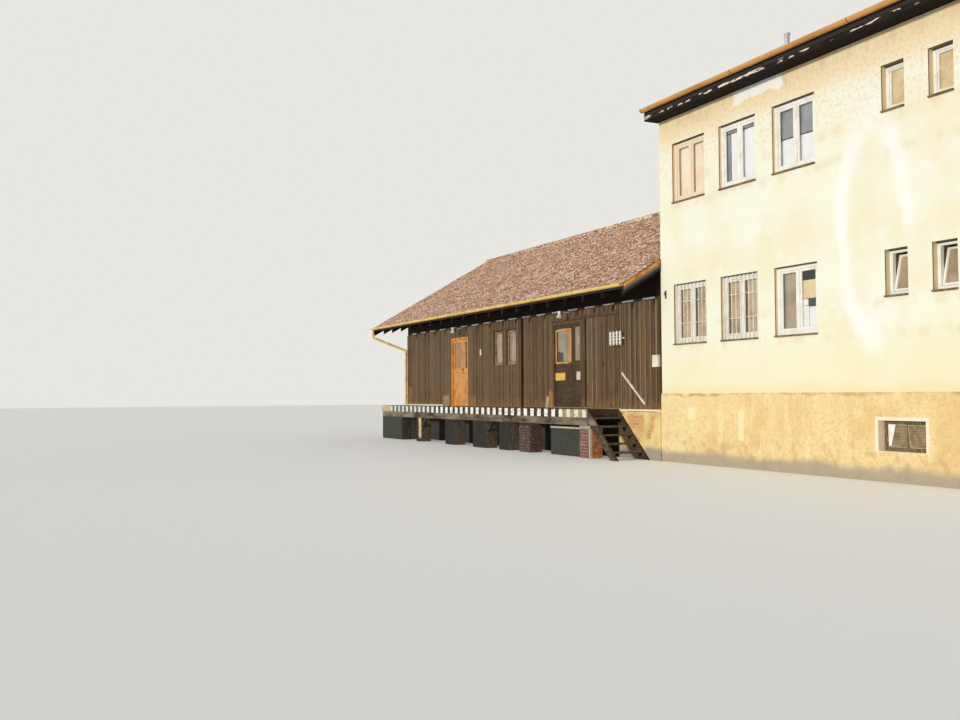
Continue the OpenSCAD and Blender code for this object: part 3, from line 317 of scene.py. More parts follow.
def brown_boards(name, dark, light, streaked):
    """Softwood boarding stained brown long ago: silky, streaked, bleached and worn at its foot.
    The boards run up a wall, 0.1 m wide, and lie along x or along y."""
    coat = Coat(name, dark, Roughness=0.75, Specular_IOR_Level=0.2)
    front = coat.maths("GREATER_THAN", coat.maths("ABSOLUTE", coat.facing("y")), 0.5)
    along = add(coat.tree, "Mix", {0: front, 2: coat.axis("y"), 3: coat.axis("x")},
                data_type="FLOAT").outputs[0]
    number = coat.maths("FLOOR", coat.maths("DIVIDE", along, 0.1))
    stretched = add(coat.tree, "CombineXYZ",
                    {0: coat.maths("MULTIPLY", along, 60.0), 1: number,
                     2: coat.maths("MULTIPLY", coat.axis("z"), 2.2)}).outputs[0]
    grain = coat.noise(1.0, 4.0, stretched)[0]
    coat.lay(light, 1.0, add(coat.tree, "TexWhiteNoise", {"W": number},
                             noise_dimensions="1D").outputs[0])
    coat.lay(streaked, 0.6, coat.ramp(grain, 0.38, 0.64))
    coat.mottle("#8a6e4e", 0.4, 0.5, 0.54, 0.72, (0.5, 0.5, 2.0))
    rough = coat.ragged(0.5, 0.12)
    for x0, x1, z1, shade, most in ((-15.25, -14.9, 1.75, "#9a6a3c", 0.8),
                                    (-6.5, -6.35, 1.5, "#8a6140", 0.6),
                                    (-12.04, -11.6, 1.47, "#b39c77", 0.8),
                                    (-5.22, -5.12, 1.50, "#f0dcb0", 0.8),
                                    (-5.08, -4.91, 1.60, "#c08a50", 0.7),
                                    (-10.1, -9.6, 1.45, "#9a7a52", 0.6)):
        coat.zone(shade, most, 0.06, rough, x=(x0, x1), y=(None, 0.2), z=(None, z1))
    coat.lay("#98764c", 0.5, coat.region(0.12, rough, z=(None, 1.33)),
             coat.patches(0.12, 0.36, 0.56, (1, 1, 2)))
    coat.zone("#f3e2c0", 0.9, 0.004, x=(None, -12.12), y=(None, 0.1), z=(None, 1.19))
    # Painted shade: a dark band at the end by the block, for the shade in the gap between them.
    coat.zone("#3a2c18", 0.9, 0.008, x=(-0.075, None), y=(None, 0.1))
    # Painted shade: near black above 3.70 m, for the eaves' shade over the wall's top.
    coat.zone("#15100c", 0.9, 0.02, x=(-15.2, None), z=(3.70, None), y=(None, 7.5))
    return coat.done(grain, 0.004, 0.7)


def dark_timber():
    """Rough-sawn timber, tarred and weathered: near black-brown with grey bleached streaks."""
    coat = Coat("sawn_timber_dark", "#3a2e25", Roughness=0.85, Specular_IOR_Level=0.2)
    streak = coat.patches(0.03, 0.40, 0.66, (14, 1, 1.5))
    coat.mottle("#5d4c3d", 1.0, 0.6, 0.4, 0.65)
    coat.lay("#86755f", 0.35, streak)
    coat.mottle("#241c17", 0.6, 0.2, 0.5, 0.7)
    coat.lay("#9a8a74", 0.8, coat.region(0.02, y=(None, -0.80), z=(0.77, 0.96)),
             coat.patches(0.25, 0.3, 0.6, (4, 1, 1)))
    coat.zone("#54412f", 0.7, 0.01, x=(-4.9, -3.3), y=(0.0, 0.2), z=(1.1, 3.5))
    return coat.done(streak, 0.003, 0.6)


def roof_tiles():
    """Fired clay beaver-tail tiles: pinkish brown, each its own tone, with dark lichen."""
    coat = Coat("fired_clay_tile", "#b27a5e", Roughness=0.85)
    tone = coat.tone()
    coat.lay("#cb9876", 1.0, coat.ramp(tone, 0.2, 0.8))
    coat.lay("#dfbb98", 1.0, coat.ramp(tone, 0.78, 0.92))
    coat.lay("#925e47", 1.0, coat.ramp(tone, 0.24, 0.10))
    coat.mottle("#937a62", 0.35, 0.8, 0.52, 0.72)
    coat.mottle("#5a3a2c", 0.8, 0.06, 0.53, 0.58, detail=2.0)
    # Painted highlights: the small pale dots stand for glints on the tiles' rounded tails.
    coat.mottle("#fbe5cc", 0.9, 0.065, 0.55, 0.59, detail=2.0,
                place=coat.vector("ADD", coat.place, (3.7, 1.3, 2.9)))
    coat.lay("#2f241d", 1.0, coat.maths("COMPARE", tone, 0.0, 1e-6))
    return coat.done(coat.noise(150.0, 3.0)[0], 0.002, 0.6)


def painted_wood(name, light, worn, bare, roughness, worn_from, grain=(1, 1, 8), yellowed=None,
                 shaded_heads=()):
    """Gloss paint or varnish on joinery: an even coat, dulled in patches, bare on flaked spots,
    yellowed inside the given limits and painted dark as shade for 30 mm over each given height."""
    coat = Coat(name, light, Roughness=roughness)
    coat.mottle(worn, 1.0, 0.25, 0.42, 0.66)
    if yellowed:
        coat.zone("#f3dcb8", 0.8, 0.02, **yellowed)
    # Painted shade: a dark band over each given height, where a lintel shades the frame's head.
    for z in shaded_heads:
        coat.zone("#3d2f22", 0.85, 0.004, z=(z, z + 0.03))
    coat.mottle(bare, 0.85, 0.018, worn_from, worn_from + 0.03, grain, 6.0)
    return coat.done(coat.patches(0.006, 0.3, 0.7, grain), 0.0012)


def fascia_paint():
    """White paint left in flecks on a bare dark fascia board, and a soffit painted black as shade.
    """
    coat = Coat("flaking_white_fascia", "#1e1916", Roughness=0.8, Specular_IOR_Level=0.15)
    coat.mottle("#302822", 1.0, 0.5, 0.4, 0.65)
    flecks = coat.both(coat.patches(0.06, 0.57, 0.60, (5, 1, 1), 5.0),
                       coat.region(0.012, z=(7.64, 7.73)))
    strip = coat.both(coat.patches(0.05, 0.36, 0.42, (4, 1, 1)),
                      coat.region(0.006, coat.ragged(0.2, 0.01), x=(2.5, 3.8), y=(None, 0.0),
                                  z=(7.645, 7.685)))
    paint = coat.maths("MAXIMUM", flecks, strip)
    coat.lay("#f6eedb", 0.9, paint)
    # Painted shade: faces that look down, the soffit, are near black.
    coat.lay("#100d0b", 0.97, coat.against("z"))
    return coat.done(paint, 0.002, 0.8)


def slat_paint():
    """Eave slats: white paint kept only along their tops, in bits, over soot-brown wood."""
    coat = Coat("old_paint_on_slats", "#54432f", Roughness=0.6)
    kept = coat.both(coat.region(0.004, coat.ragged(0.12, 0.012), z=(3.663, None)),
                     coat.patches(0.05, 0.35, 0.42, (2, 1, 1)))
    coat.lay("#fffdf6", 1.0, kept)
    return coat.done(kept, 0.001)


def verge_paint():
    """A verge board: orange stain left along its top, grey-green below it, black at its foot.
    0.57735 is the roof's slope, the tangent of 30 degrees."""
    coat = Coat("weathered_verge_board", "#e69c4a", Roughness=0.65)
    rough = coat.ragged(0.25, 0.008)
    away = coat.maths("ABSOLUTE", coat.maths("SUBTRACT", coat.axis("y", rough), SHED_RIDGE_Y))
    height = coat.maths("MULTIPLY_ADD", away, 0.57735, coat.axis("z", rough))
    coat.mottle("#b9702f", 1.0, 0.15, 0.45, 0.65)
    coat.lay("#6e6e5e", 1.0, coat.ramp(height, 6.555, 6.535))
    coat.lay("#1f1a16", 1.0, coat.ramp(height, 6.50, 6.46))
    return coat.done(coat.patches(0.01, 0.3, 0.7, (1, 6, 1)), 0.0012)


def frame_wood():
    """Door frames: varnished orange round the first door, stained dark brown at the others."""
    coat = Coat("door_frame_wood", "#e09c48", Roughness=0.6, Specular_IOR_Level=0.25)
    coat.mottle("#c07228", 1.0, 0.25, 0.42, 0.66)
    brown = coat.mixed("#6a543b", "#523f2a", coat.patches(0.2, 0.4, 0.6, (1, 1, 6)))
    coat.zone(brown, 1.0, 0.01, x=(-8.0, None))
    coat.zone("#a58a68", 0.8, 0.004, x=(-8.0, None), z=(None, 1.172))
    return coat.done(coat.patches(0.006, 0.3, 0.7, (1, 1, 8)), 0.0012)


def box_plastic():
    """The meter box's plastic, and the wooden strip over it coloured brown as painted shade."""
    coat = Coat("pvc_box_and_strip", "#f4f0de", Roughness=0.45)
    coat.mottle("#e2dcc6", 1.0, 0.3, 0.4, 0.65)
    # Painted shade: the strip above 2.372 m is coloured dull brown for the shade beside the block's
    # corner.
    coat.zone("#84704f", 1.0, 0.001, z=(2.372, None))
    return coat.done(coat.patches(0.05, 0.3, 0.7), 0.0006)


def coated_metal(name, light, dark, joint, spacing, roughness):
    """Folded gutter sheet: a thin coat, weathered in runs, with a darker joint each length."""
    coat = Coat(name, light, Roughness=roughness)
    coat.mottle(dark, 1.0, 0.25, 0.42, 0.66, (3, 1, 1))
    lap = coat.ramp(coat.maths("PINGPONG", coat.axis("x"), spacing), 0.012, 0.02, 1.0, 0.0)
    coat.lay(joint, 0.7, lap, coat.region(0.01, z=(3.84, None)))
    coat.mottle(joint, 0.5, 0.05, 0.60, 0.70)
    return coat.done(coat.noise(9.0, 2.0)[0], 0.002, 0.4)


def plain(name, light, dark, size, roughness, depth=0.0005, **sockets):
    """A smooth finish with a faint change of tone over patches of the given size."""
    coat = Coat(name, light, Roughness=roughness, **sockets)
    share = coat.patches(size, 0.4, 0.65)
    coat.lay(dark, 1.0, share)
    return coat.done(share, depth)


def window_glass(name, light, dark, alpha):
    """Old sheet glass: smooth, slightly wavy, greyish or dusty, letting the curtains show."""
    coat = Coat(name, light, Roughness=0.05, Alpha=alpha, IOR=1.5)
    coat.mottle(dark, 1.0, 0.6, 0.4, 0.6)
    return coat.done(coat.noise(2.5, 1.0)[0], 0.004, 0.3)


def striped_edge():
    """The platform's edge board: white and black paint in turn, faded and chipped with use. Its
    left end was never striped."""
    coat = Coat("striped_paint_on_wood", "#faf7ee", Roughness=0.6)
    turn = coat.maths("FLOORED_MODULO", coat.axis("x"), 0.36)
    coat.lay("#1d1a19", 1.0, coat.maths("GREATER_THAN", turn, 0.18))
    coat.zone("#9a9182", 0.25, 0.5, coat.ragged(0.5, 0.15), x=(None, -10.8))
    coat.zone("#d8ca96", 0.55, 0.2, x=(-2.75, None))
    coat.zone("#c9b48c", 1.0, 0.004, x=(None, -14.42))
    chipped = coat.patches(0.05, 0.56, 0.62, (2, 1, 1), 6.0)
    coat.lay("#7d6c56", 0.8, chipped)
    return coat.done(chipped, -0.0015, 0.8)


def pier_masonry():
    """Quarried stone and brick in lime mortar: dark on the track side, paler on the sides."""
    coat = Coat("rubble_stone_and_brick", "#4f473c", Roughness=0.93, Specular_IOR_Level=0.2)
    stones = {"Vector": coat.place, "Scale": 4.2}
    edge = add(coat.tree, "TexVoronoi", stones, feature="DISTANCE_TO_EDGE").outputs[0]
    joint = coat.ramp(edge, 0.02, 0.06, 1.0, 0.0)
    cells = add(coat.tree, "TexVoronoi", stones).outputs["Color"]
    coat.lay("#6a5e4d", 1.0, coat.axis("x", cells))
    coat.lay("#857863", 0.5, joint)
    coat.lay("#8d7a5f", 0.4, coat.maths("ABSOLUTE", coat.facing("x")))
    front = coat.against("y")
    coat.lay("#2b2a28", 0.85, front)
    coat.zone("#b5aa96", 0.9, 0.01, x=(-1.99, None))
    for x in ((-3.6, -1.98), (-15.3, -13.4)):
        coat.zone("#4a4c44", 0.8, 0.01, x=x, y=(None, -0.6))
    # A pale coping along the low wall's top, made paler as painted light for the sun on it.
    coat.zone("#cdc7b6", 0.9, 0.004, x=(-3.6, -1.98), z=(0.662, 0.72))
    # Painted light: the first pier's front is made pale cream for the sunlight on it.
    first = coat.region(0.04, coat.ragged(0.3, 0.04), x=(-11.95, -11.6), z=(0.12, None))
    coat.lay("#e9cf9e", 0.85, front, first)
    return coat.done(coat.mixed("#ffffff", "#000000", joint), 0.02, 0.8)


def old_brick():
    """Fired brick, dark on the face towards the track and orange on the side faces."""
    coat = Coat("fired_brick_darker_to_track", "#b8622f", Roughness=0.9)
    coat.lay("#dd9250", 1.0, coat.tone())
    coat.lay("#5a4650", 0.85, coat.against("y"))
    coat.zone("#54423f", 0.85, 0.01, x=(None, -4.0))
    coat.mottle("#d9b98c", 0.4, 0.07, 0.56, 0.68)
    coat.zone("#eadfc4", 0.7, 0.012, x=(-1.555, None), y=(None, -0.90))
    return coat.done(coat.noise(120.0, 4.0)[0], 0.003, 0.7)


def woven_cloth(name, light, dark):
    """Cotton hung at a window: a fine plain weave, drawn 4 mm apart so that it can show."""
    coat = Coat(name, light, Roughness=0.9)
    weave = add(coat.tree, "TexChecker",
                {"Vector": coat.scaled(coat.place, 1 / THREAD), "Color1": "#ffffff",
                 "Color2": "#000000", "Scale": 1.0}).outputs["Fac"]
    coat.mottle(dark, 1.0, 0.4, 0.4, 0.65)
    coat.lay(dark, 0.25, weave)
    return coat.done(weave, 0.0006, 0.3)


CREAM = cream_render()
PLINTH = plinth_render()
FOOTING = footing_render()
BOARDS = brown_boards("stained_softwood_brown", "#5f4a36", "#82694d", "#3e3023")
# The battens take a lighter copy of the boards' finish: painted light for the sun on their faces.
BATTENS = brown_boards("stained_batten_brown_painted_lighter", "#7d644a", "#a08464", "#54432f")
TIMBER = dark_timber()
# Near-black timber for the rafters and ridge beam, painted dark for the shade under the eaves; the
# cover strip on the front wall is drawn in it too.
SHADE_BLACK_WOOD = plain("rafter_timber_painted_shade_black", "#231d18", "#322a23", 0.2, 0.9, 0.002,
                  Specular_IOR_Level=0.05)
TILES = roof_tiles()
FASCIA = fascia_paint()
GLASS = window_glass("sheet_glass", "#d3d9db", "#c2c9cc", 0.06)
DUSTY_GLASS = window_glass("dusty_sheet_glass", "#bda88c", "#a08b70", 0.88)
# Nearly opaque grey glass: a painted reflection of the sky.
GREY_GLASS = window_glass("inner_glass_painted_sky_reflection", "#a9abac", "#949798", 0.85)
STRIPES = striped_edge()
PIERS = pier_masonry()
BRICK = old_brick()
CONCRETE = plain("cast_concrete", "#9d9a90", "#7f7c73", 0.5, 0.9, 0.003)
STONE = plain("sandstone_sill", "#8f7350", "#6d5638", 0.12, 0.88, 0.002)
WINDOW_PAINT = painted_wood("gloss_paint_white", "#faf8ef", "#efeadb", "#c8b18a", 0.42, 0.66,
                            yellowed={"x": (0.4, 1.65), "y": (None, 0.5), "z": (5.6, None)},
                            shaded_heads=(3.865, 6.985))
SLAT_PAINT = slat_paint()
SHED_PAINT = painted_wood("old_paint_brown", "#927c60", "#77624a", "#c9b894", 0.6, 0.60)
CELLAR_PAINT = painted_wood("old_paint_grey_brown", "#6f5e46", "#594a36", "#a8936d", 0.7, 0.60)
VARNISH = painted_wood("varnished_pine_orange", "#e2a04c", "#cc8434", "#a5683a", 0.38, 0.62)
YELLOW_PAINT = painted_wood("gloss_paint_yellow", "#f2cc58", "#dfb240", "#8a6a30", 0.45, 0.60)
PINK_PAINT = painted_wood("faded_paint_pinkish", "#ecd2ba", "#cdb09a", "#6d5a48", 0.6, 0.58)
DOOR_FRAMES = frame_wood()
VERGE_PAINT = verge_paint()
PALE_WOOD = painted_wood("planed_spruce_pale", "#fff8e6", "#eadcbc", "#8d7a5c", 0.7, 0.60,
                         (8, 1, 1))
WORN_WOOD = painted_wood("worn_tread_edge", "#87786a", "#665a4c", "#3f362d", 0.8, 0.52,
                         (8, 1, 1))
OCHRE_METAL = coated_metal("ochre_coated_steel", "#f8d578", "#e8b858", "#9a6a2a", 1.0, 0.4)
COPPER_METAL = coated_metal("copper_brown_coated_steel", "#dba25c", "#c58a4a", "#6d4a2c", 1.5,
                            0.42)
GREY_METAL = plain("galvanised_steel", "#cfd0cc", "#a9aba8", 0.08, 0.5, 0.001, Metallic=0.2)
ENAMEL = plain("white_enamelled_steel", "#fbfaf5", "#e4e2d8", 0.2, 0.3)
PLASTIC = box_plastic()
PORCELAIN = plain("glazed_porcelain", "#f6f4ee", "#e2ded4", 0.1, 0.15)
IRON = plain("black_iron", "#1d1a18", "#33291f", 0.05, 0.7, 0.001)
WHITE_BARS = plain("painted_steel_bar_white", "#f3f0e6", "#d9d2c0", 0.1, 0.45)
NET = woven_cloth("cotton_net_white", "#ffffff", "#faf8f2")
DRAPE = woven_cloth("cotton_drape_peach", "#fff3d8", "#fbe0b8")
BROWN_CLOTH = woven_cloth("cotton_curtain_brown", "#d6bd98", "#b09470")
RED_CLOTH = woven_cloth("cotton_curtain_reddish", "#d19a66", "#b57c4c")
GREEN_CLOTH = woven_cloth("cotton_curtain_greenish", "#a8a384", "#8b876c")
PAPER = plain("blank_white_card", "#fbfaf4", "#ece9dd", 0.3, 0.8)
TAN_CARD = plain("tan_fibreboard", "#f0d9a6", "#dcc08a", 0.3, 0.85)
MESH_WIRE = plain("galvanised_wire_dull", "#c9b48c", "#a8946f", 0.1, 0.7)
LATTICE = plain("tan_expanded_mesh", "#eedab2", "#cfb284", 0.1, 0.7)
MORTAR = plain("lime_mortar", "#b3a791", "#8b806d", 0.05, 0.95, 0.003)

for material, names in (
        (CREAM, "station_front_wall station_back_wall station_left_wall station_right_wall"),
        (PLINTH, "plinth_long_walls plinth_end_walls"),
        (CONCRETE, "station_floors shed_floor"),
        (FOOTING, "shed_foundation shed_end_foundation"),
        (TILES, "station_roof_front station_roof_back shed_roof_front shed_roof_back"),
        (FASCIA, "station_eaves"),
        (COPPER_METAL, "station_gutters station_downpipes"),
        (OCHRE_METAL, "shed_gutters shed_downpipes"),
        (GREY_METAL, "roof_flue"),
        (WINDOW_PAINT, "ground_floor_windows upper_floor_windows"),
        (CELLAR_PAINT, "cellar_window"),
        (GLASS, "ground_floor_glass upper_floor_glass first_door_glass first_door_side_glass"
                " second_door_glass"),
        (DUSTY_GLASS, "shed_window_glass second_door_side_glass"),
        (STONE, "window_sills"),
        (BOARDS, "shed_front_wall shed_wall_over_doors shed_back_wall shed_left_wall"
                 " window_hoods goods_door_left_leaf goods_door_right_leaf"),
        (TIMBER, "platform_deck platform_beam platform_joists stair_stringers stair_treads"
                 " second_door_leaf second_door_side_leaf"),
        (SHADE_BLACK_WOOD, "shed_ridge_beam shed_rafters"),
        (SLAT_PAINT, "eave_infill"),
        (SHED_PAINT, "shed_window_frames"),
        (VERGE_PAINT, "verge_boards"),
        (DOOR_FRAMES, "door_frames"),
        (VARNISH, "first_door_leaf first_door_side_leaf"),
        (STRIPES, "platform_edge"),
        (PIERS, "platform_piers"),
        (PALE_WOOD, "stair_handrail"),
        (ENAMEL, "lamps"),
        (PLASTIC, "meter_box"),
        (PORCELAIN, "insulator_rack")):
    for node in names.split():
        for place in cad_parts[node].material_slots:
            place.material = material


# Shapes
# A shape is (points, groups): an array of points, and arrays of faces with as many columns
# as each face has corners, listed anticlockwise from outside.


def rows(x, y, z):
    """Points from their coordinates; a single number holds for all of them."""
    return np.column_stack(np.broadcast_arrays(x, y, z))


def join(shapes):
    """Several shapes as one: their points in a row, their faces renumbered to match."""
    starts = np.cumsum([0] + [len(points) for points, _ in shapes[:-1]])
    points = np.concatenate([points for points, _ in shapes])
    return points, [group + start for (_, groups), start in zip(shapes, starts)
                    for group in groups]


def outward(shape):
    """The shape turned right side out: its signed volume, the sum over its triangles of
    a . (b x c) / 6, has to be positive."""
    points, groups = shape
    volume = 0.0
    for group in groups:
        first = points[group[:, 0]]
        for i in range(1, group.shape[1] - 1):
            volume += np.einsum("ij,ij->i", first,
                                np.cross(points[group[:, i]], points[group[:, i + 1]])).sum()
    return shape if volume > 0 else (points, [group[:, ::-1] for group in groups])


def piece(name, shape, material, body="building", replaces=(), smooth=False,
          tones=None):
    """Make the shape an object that rides on a body. tones is a random share for each point."""
    points, groups = shape
    mesh = bpy.data.meshes.new(name)
    corners = np.concatenate([group.ravel() for group in groups]).astype(np.int32)
    sizes = np.concatenate([np.full(len(group), group.shape[1]) for group in groups])
    mesh.vertices.add(len(points))
    mesh.vertices.foreach_set("co", (points + SHIFT).astype(np.float32).ravel())
    mesh.loops.add(len(corners))
    mesh.loops.foreach_set("vertex_index", corners)
    mesh.polygons.add(len(sizes))
    mesh.polygons.foreach_set("loop_start", (np.cumsum(sizes) - sizes).astype(np.int32))
    mesh.polygons.foreach_set("use_smooth", np.full(len(sizes), smooth))
    if tones is not None:
        layer = mesh.attributes.new("tone", "FLOAT", "POINT")
        layer.data.foreach_set("value", np.asarray(tones, np.float32))
    mesh.update(calc_edges=True)
    mesh.materials.append(material)
    made = bpy.data.objects.new(name, mesh)
    bpy.context.scene.collection.objects.link(made)
    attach(made, body)
    if replaces:
        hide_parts(*replaces)
    return made


def repeated(shape, origins, x_axes, y_axes, z_axes):
    """Copies of a small shape: a point (x, y, z) goes to origin + x * x_axis + y * y_axis
    + z * z_axis of each copy."""
    points, groups = shape
    count = len(origins)
    axes = [np.broadcast_to(axis, (count, 3))[:, None] for axis in (x_axes, y_axes, z_axes)]
    placed = np.asarray(origins)[:, None] + sum(points[:, i, None] * axes[i] for i in range(3))
    steps = (len(points) * np.arange(count))[:, None, None]
    return placed.reshape(-1, 3), [(group[None] + steps).reshape(-1, group.shape[1])
                                   for group in groups]


def carried(rings, closed=False):
    """A profile carried along a path: rings is an array (stations, corners, 3). Each corner is
    joined to the next and to the same corner of the next station. The ends are capped, or
    the last station joins the first where the path is closed."""
    rings = np.array(rings, float)
    stations, corners = rings.shape[:2]
    number = np.arange(stations * corners).reshape(stations, corners)
    here = number if closed else number[:-1]
    there = np.roll(number, -1, 0) if closed else number[1:]
    sides = np.stack([here, np.roll(here, -1, 1), np.roll(there, -1, 1), there], -1)
    groups = [sides.reshape(-1, 4)]
    if not closed:
        groups.append(np.stack([number[0, ::-1], number[-1]]))
    return outward((rings.reshape(-1, 3), groups))


def prism(corners):
    """The faces of a prism: corners numbered round its foot, then round its head."""
    i = np.arange(corners)
    j = np.roll(i, -1)
    return [np.stack([i, j, j + corners, i + corners], -1), np.stack([i[::-1], i + corners])]


def bars(starts, ends, wide, deep, across=X, cut=0.003):
    """Straight bars with cut edges: a rectangle wide by deep, its width towards across, is
    carried from each start to its end."""
    starts, ends = np.atleast_2d(np.asarray(starts, float), np.asarray(ends, float))
    along = ends - starts
    along /= np.linalg.norm(along, axis=1)[:, None]
    side = np.broadcast_to(np.asarray(across, float), along.shape)
    side = side - along * (side * along).sum(1)[:, None]
    side = side / np.linalg.norm(side, axis=1)[:, None]
    up = np.cross(along, side)
    w, d = wide / 2, deep / 2
    outline = np.array([[w, -d + cut], [w, d - cut], [w - cut, d], [cut - w, d],
                        [-w, d - cut], [-w, cut - d], [cut - w, -d], [w - cut, -d]])
    ring = outline[:, 0, None] * side[:, None] + outline[:, 1, None] * up[:, None]
    points = np.concatenate([starts[:, None] + ring, ends[:, None] + ring], 1)
    steps = (16 * np.arange(len(starts)))[:, None, None]
    return points.reshape(-1, 3), [(group + steps).reshape(-1, group.shape[1])
                                   for group in prism(8)]


def uprights(x, y, z0, z1, *size):
    """Bars that stand from z0 to z1."""
    return bars(rows(x, y, z0), rows(x, y, z1), *size)


def moulding(x0, x1, z0, z1, profile):
    """A frame round a rectangle in the wall's plane: the closed profile of (inwards, y) points
    is carried round its four mitred corners."""
    return carried([[[x + dx * a, y, z + dz * a] for a, y in profile]
                    for x, z, dx, dz in ((x0, z0, 1, 1), (x1, z0, -1, 1), (x1, z1, -1, -1),
                                         (x0, z1, 1, -1))], closed=True)


def panel(x0, x1, z0, z1, y_face, y_field, slope, y_back):
    """A raised field: a rectangle at y_field whose edges slope out to y_face over a slope."""
    return carried([[[x0 + inset, y, z0 + inset], [x1 - inset, y, z0 + inset],
                     [x1 - inset, y, z1 - inset], [x0 + inset, y, z1 - inset]]
                    for inset, y in ((0, y_back), (0, y_face), (slope, y_field))])


def slab(x0, x1, y0, y1, z0, z1):
    """A thin sheet of glass or card between two corners."""
    return panel(x0, x1, z0, z1, y0, y0, 0.0005, y1)


def turned(centre, axis, profile, sides=16):
    """A turned form: (distance along the axis, radius) points carried round the axis."""
    side = np.cross(axis, [0.3, 0.5, 0.8])
    side /= np.linalg.norm(side)
    angles = np.linspace(0, 2 * np.pi, sides, endpoint=False)
    round_ = np.cos(angles)[:, None] * side + np.sin(angles)[:, None] * np.cross(axis, side)
    return carried([np.asarray(centre) + along * axis + radius * round_
                    for along, radius in profile])


def to_back(shape, depth):
    """The shape mirrored in y about the middle of a depth, and turned right side out."""
    points, groups = shape
    return points * [1, -1, 1] + [0, depth, 0], [group[:, ::-1] for group in groups]


def mirrored(shape):
    """The shape drawn for the front, on the block's back wall."""
    return to_back(shape, STATION_D)


def front_and_back(shapes):
    """The shapes drawn for the block's front, there and on its back wall."""
    return join(shapes + [mirrored(shape) for shape in shapes])


def to_right_gable(shape):
    """The shape drawn for the front turned a quarter about z onto the block's right gable."""
    points, groups = shape
    return np.stack([STATION_L - points[:, 1], points[:, 0], points[:, 2]], -1), groups


def tilted(shape, z, degrees, y=0.15):
    """The shape turned about a level line at height z, its head swinging inwards."""
    points, groups = shape
    angle = math.radians(degrees)
    up, back = points[:, 2] - z, points[:, 1] - y
    return np.stack([points[:, 0], y + back * math.cos(angle) + up * math.sin(angle),
                     z + up * math.cos(angle) - back * math.sin(angle)], -1), groups


# Roofs


def tile_shape(width, gauge):
    """A beaver-tail tile: its outline's tail is rounded, and it lies on a wedge that lifts the
    tail over the tile below. x is across, y up the slope and z off the roof."""
    thick = 0.012
    length = gauge + 0.07
    lift = thick * length / gauge
    w = width / 2 - 0.002
    outline = np.array([[-w, length], [-w, 0.03], [-w / 2, 0.006], [0, 0], [w / 2, 0.006],
                        [w, 0.03], [w, length]])
    low = lift * (1 - outline[:, 1] / length) + 0.001
    return np.concatenate([np.column_stack([outline, low]),
                           np.column_stack([outline, low + thick])]), prism(7)


def tiled_slope(name, x0, x1, eave, ridge_y, pitch, depth=None, skip=None):
    """Courses of tiles up one slope, alternate courses half a tile over, each tile with its own
    tone and a slight turn. The slope starts at eave (y, z); a back slope is mirrored. skip is
    the (x, y, half width) of a square without tiles."""
    run = (ridge_y - eave[0]) / math.cos(pitch)
    count = round((x1 - x0) / TILE_W)
    width = (x1 - x0) / count
    courses = int((run - 0.12) / TILE_GAUGE) + 1
    gauge = (run - 0.10) / courses
    whole = (x0 + (np.arange(count) + 0.5) * width, np.ones(count))
    halved = (np.concatenate([[x0 + width / 4], x0 + np.arange(1, count) * width,
                              [x1 - width / 4]]),
              np.concatenate([[0.5], np.ones(count - 1), [0.5]]))
    laid = [(whole, halved)[course % 2] for course in range(courses)]
    x = np.concatenate([middles for middles, _ in laid])
    scale = np.concatenate([shares for _, shares in laid])
    up = np.concatenate([np.full(len(middles), course * gauge - 0.03)
                         for course, (middles, _) in enumerate(laid)])
    up = up + RNG.uniform(-0.003, 0.003, len(up))
    slope = np.array([0, math.cos(pitch), math.sin(pitch)])
    off = np.array([0, -math.sin(pitch), math.cos(pitch)])
    origins = rows(x, *eave) + up[:, None] * slope
    origins = origins + RNG.uniform(0, 0.002, len(up))[:, None] * off
    if skip is not None:
        near = ((abs(origins[:, 0] - skip[0]) < skip[2])
                & (abs(origins[:, 1] + 0.1 - skip[1]) < skip[2]))
        origins, scale = origins[~near], scale[~near]
    turn = RNG.normal(0, 0.012, len(origins))
    across = np.column_stack([np.cos(turn), np.sin(turn) * slope[1], np.sin(turn) * slope[2]])
    shape = repeated(tile_shape(width, gauge), origins, across * scale[:, None],
                     np.cross(off, across), off)
    if depth is not None:
        shape = to_back(shape, depth)
    piece(name, shape, TILES, tones=np.repeat(RNG.random(len(origins)), 14))


SHED_PITCH = math.radians(30)
BLOCK_PITCH = math.radians(22)
FLUE = (1.05, 2.85)
SHED_SLOPE = (VERGE_X + 0.008, -0.006, (-1.0, 3.9395), SHED_RIDGE_Y, SHED_PITCH)
BLOCK_SLOPE = (-0.034, STATION_L + 0.034, (-0.37, 7.8726), STATION_D / 2, BLOCK_PITCH)
tiled_slope("shed_tiles_front", *SHED_SLOPE)
tiled_slope("shed_tiles_back", *SHED_SLOPE, SHED_D)
tiled_slope("block_tiles_front", *BLOCK_SLOPE, skip=(*FLUE, 0.16))
tiled_slope("block_tiles_back", *BLOCK_SLOPE, STATION_D)


def ridge_course(x0, x1, y, z):
    """Half-round ridge tiles in a row: an arch of 192 degrees, wide at one end and narrow at
    the other, each lapped on the next, over a bed of mortar."""
    count = round((x1 - x0) / 0.38)
    step = (x1 - x0) / count
    angles = np.radians(np.linspace(-6, 186, 13))
    arch = np.column_stack([np.cos(angles), np.sin(angles)])
    sections = [(offset, np.concatenate([arch * radius, arch[::-1] * (radius - 0.012)]))
                for offset, radius in ((0.0, 0.1025), (step + 0.03, 0.091))]
    tile = carried([rows(offset, *section.T) for offset, section in sections])
    reach = np.ones((count, 1))
    reach[-1] = step / (step + 0.03)
    tiles = repeated(tile, rows(x0 + step * np.arange(count), y, z), reach * X, Y, Z)
    tones = np.repeat(RNG.random(count), len(tile[0]))
    bed = np.concatenate([arch * 0.088, [[-0.088, -0.05], [0.088, -0.05]]]) + [y, z]
    return tiles, tones, carried([rows(x, *bed.T) for x in (x0 + 0.004, x1 - 0.004)])


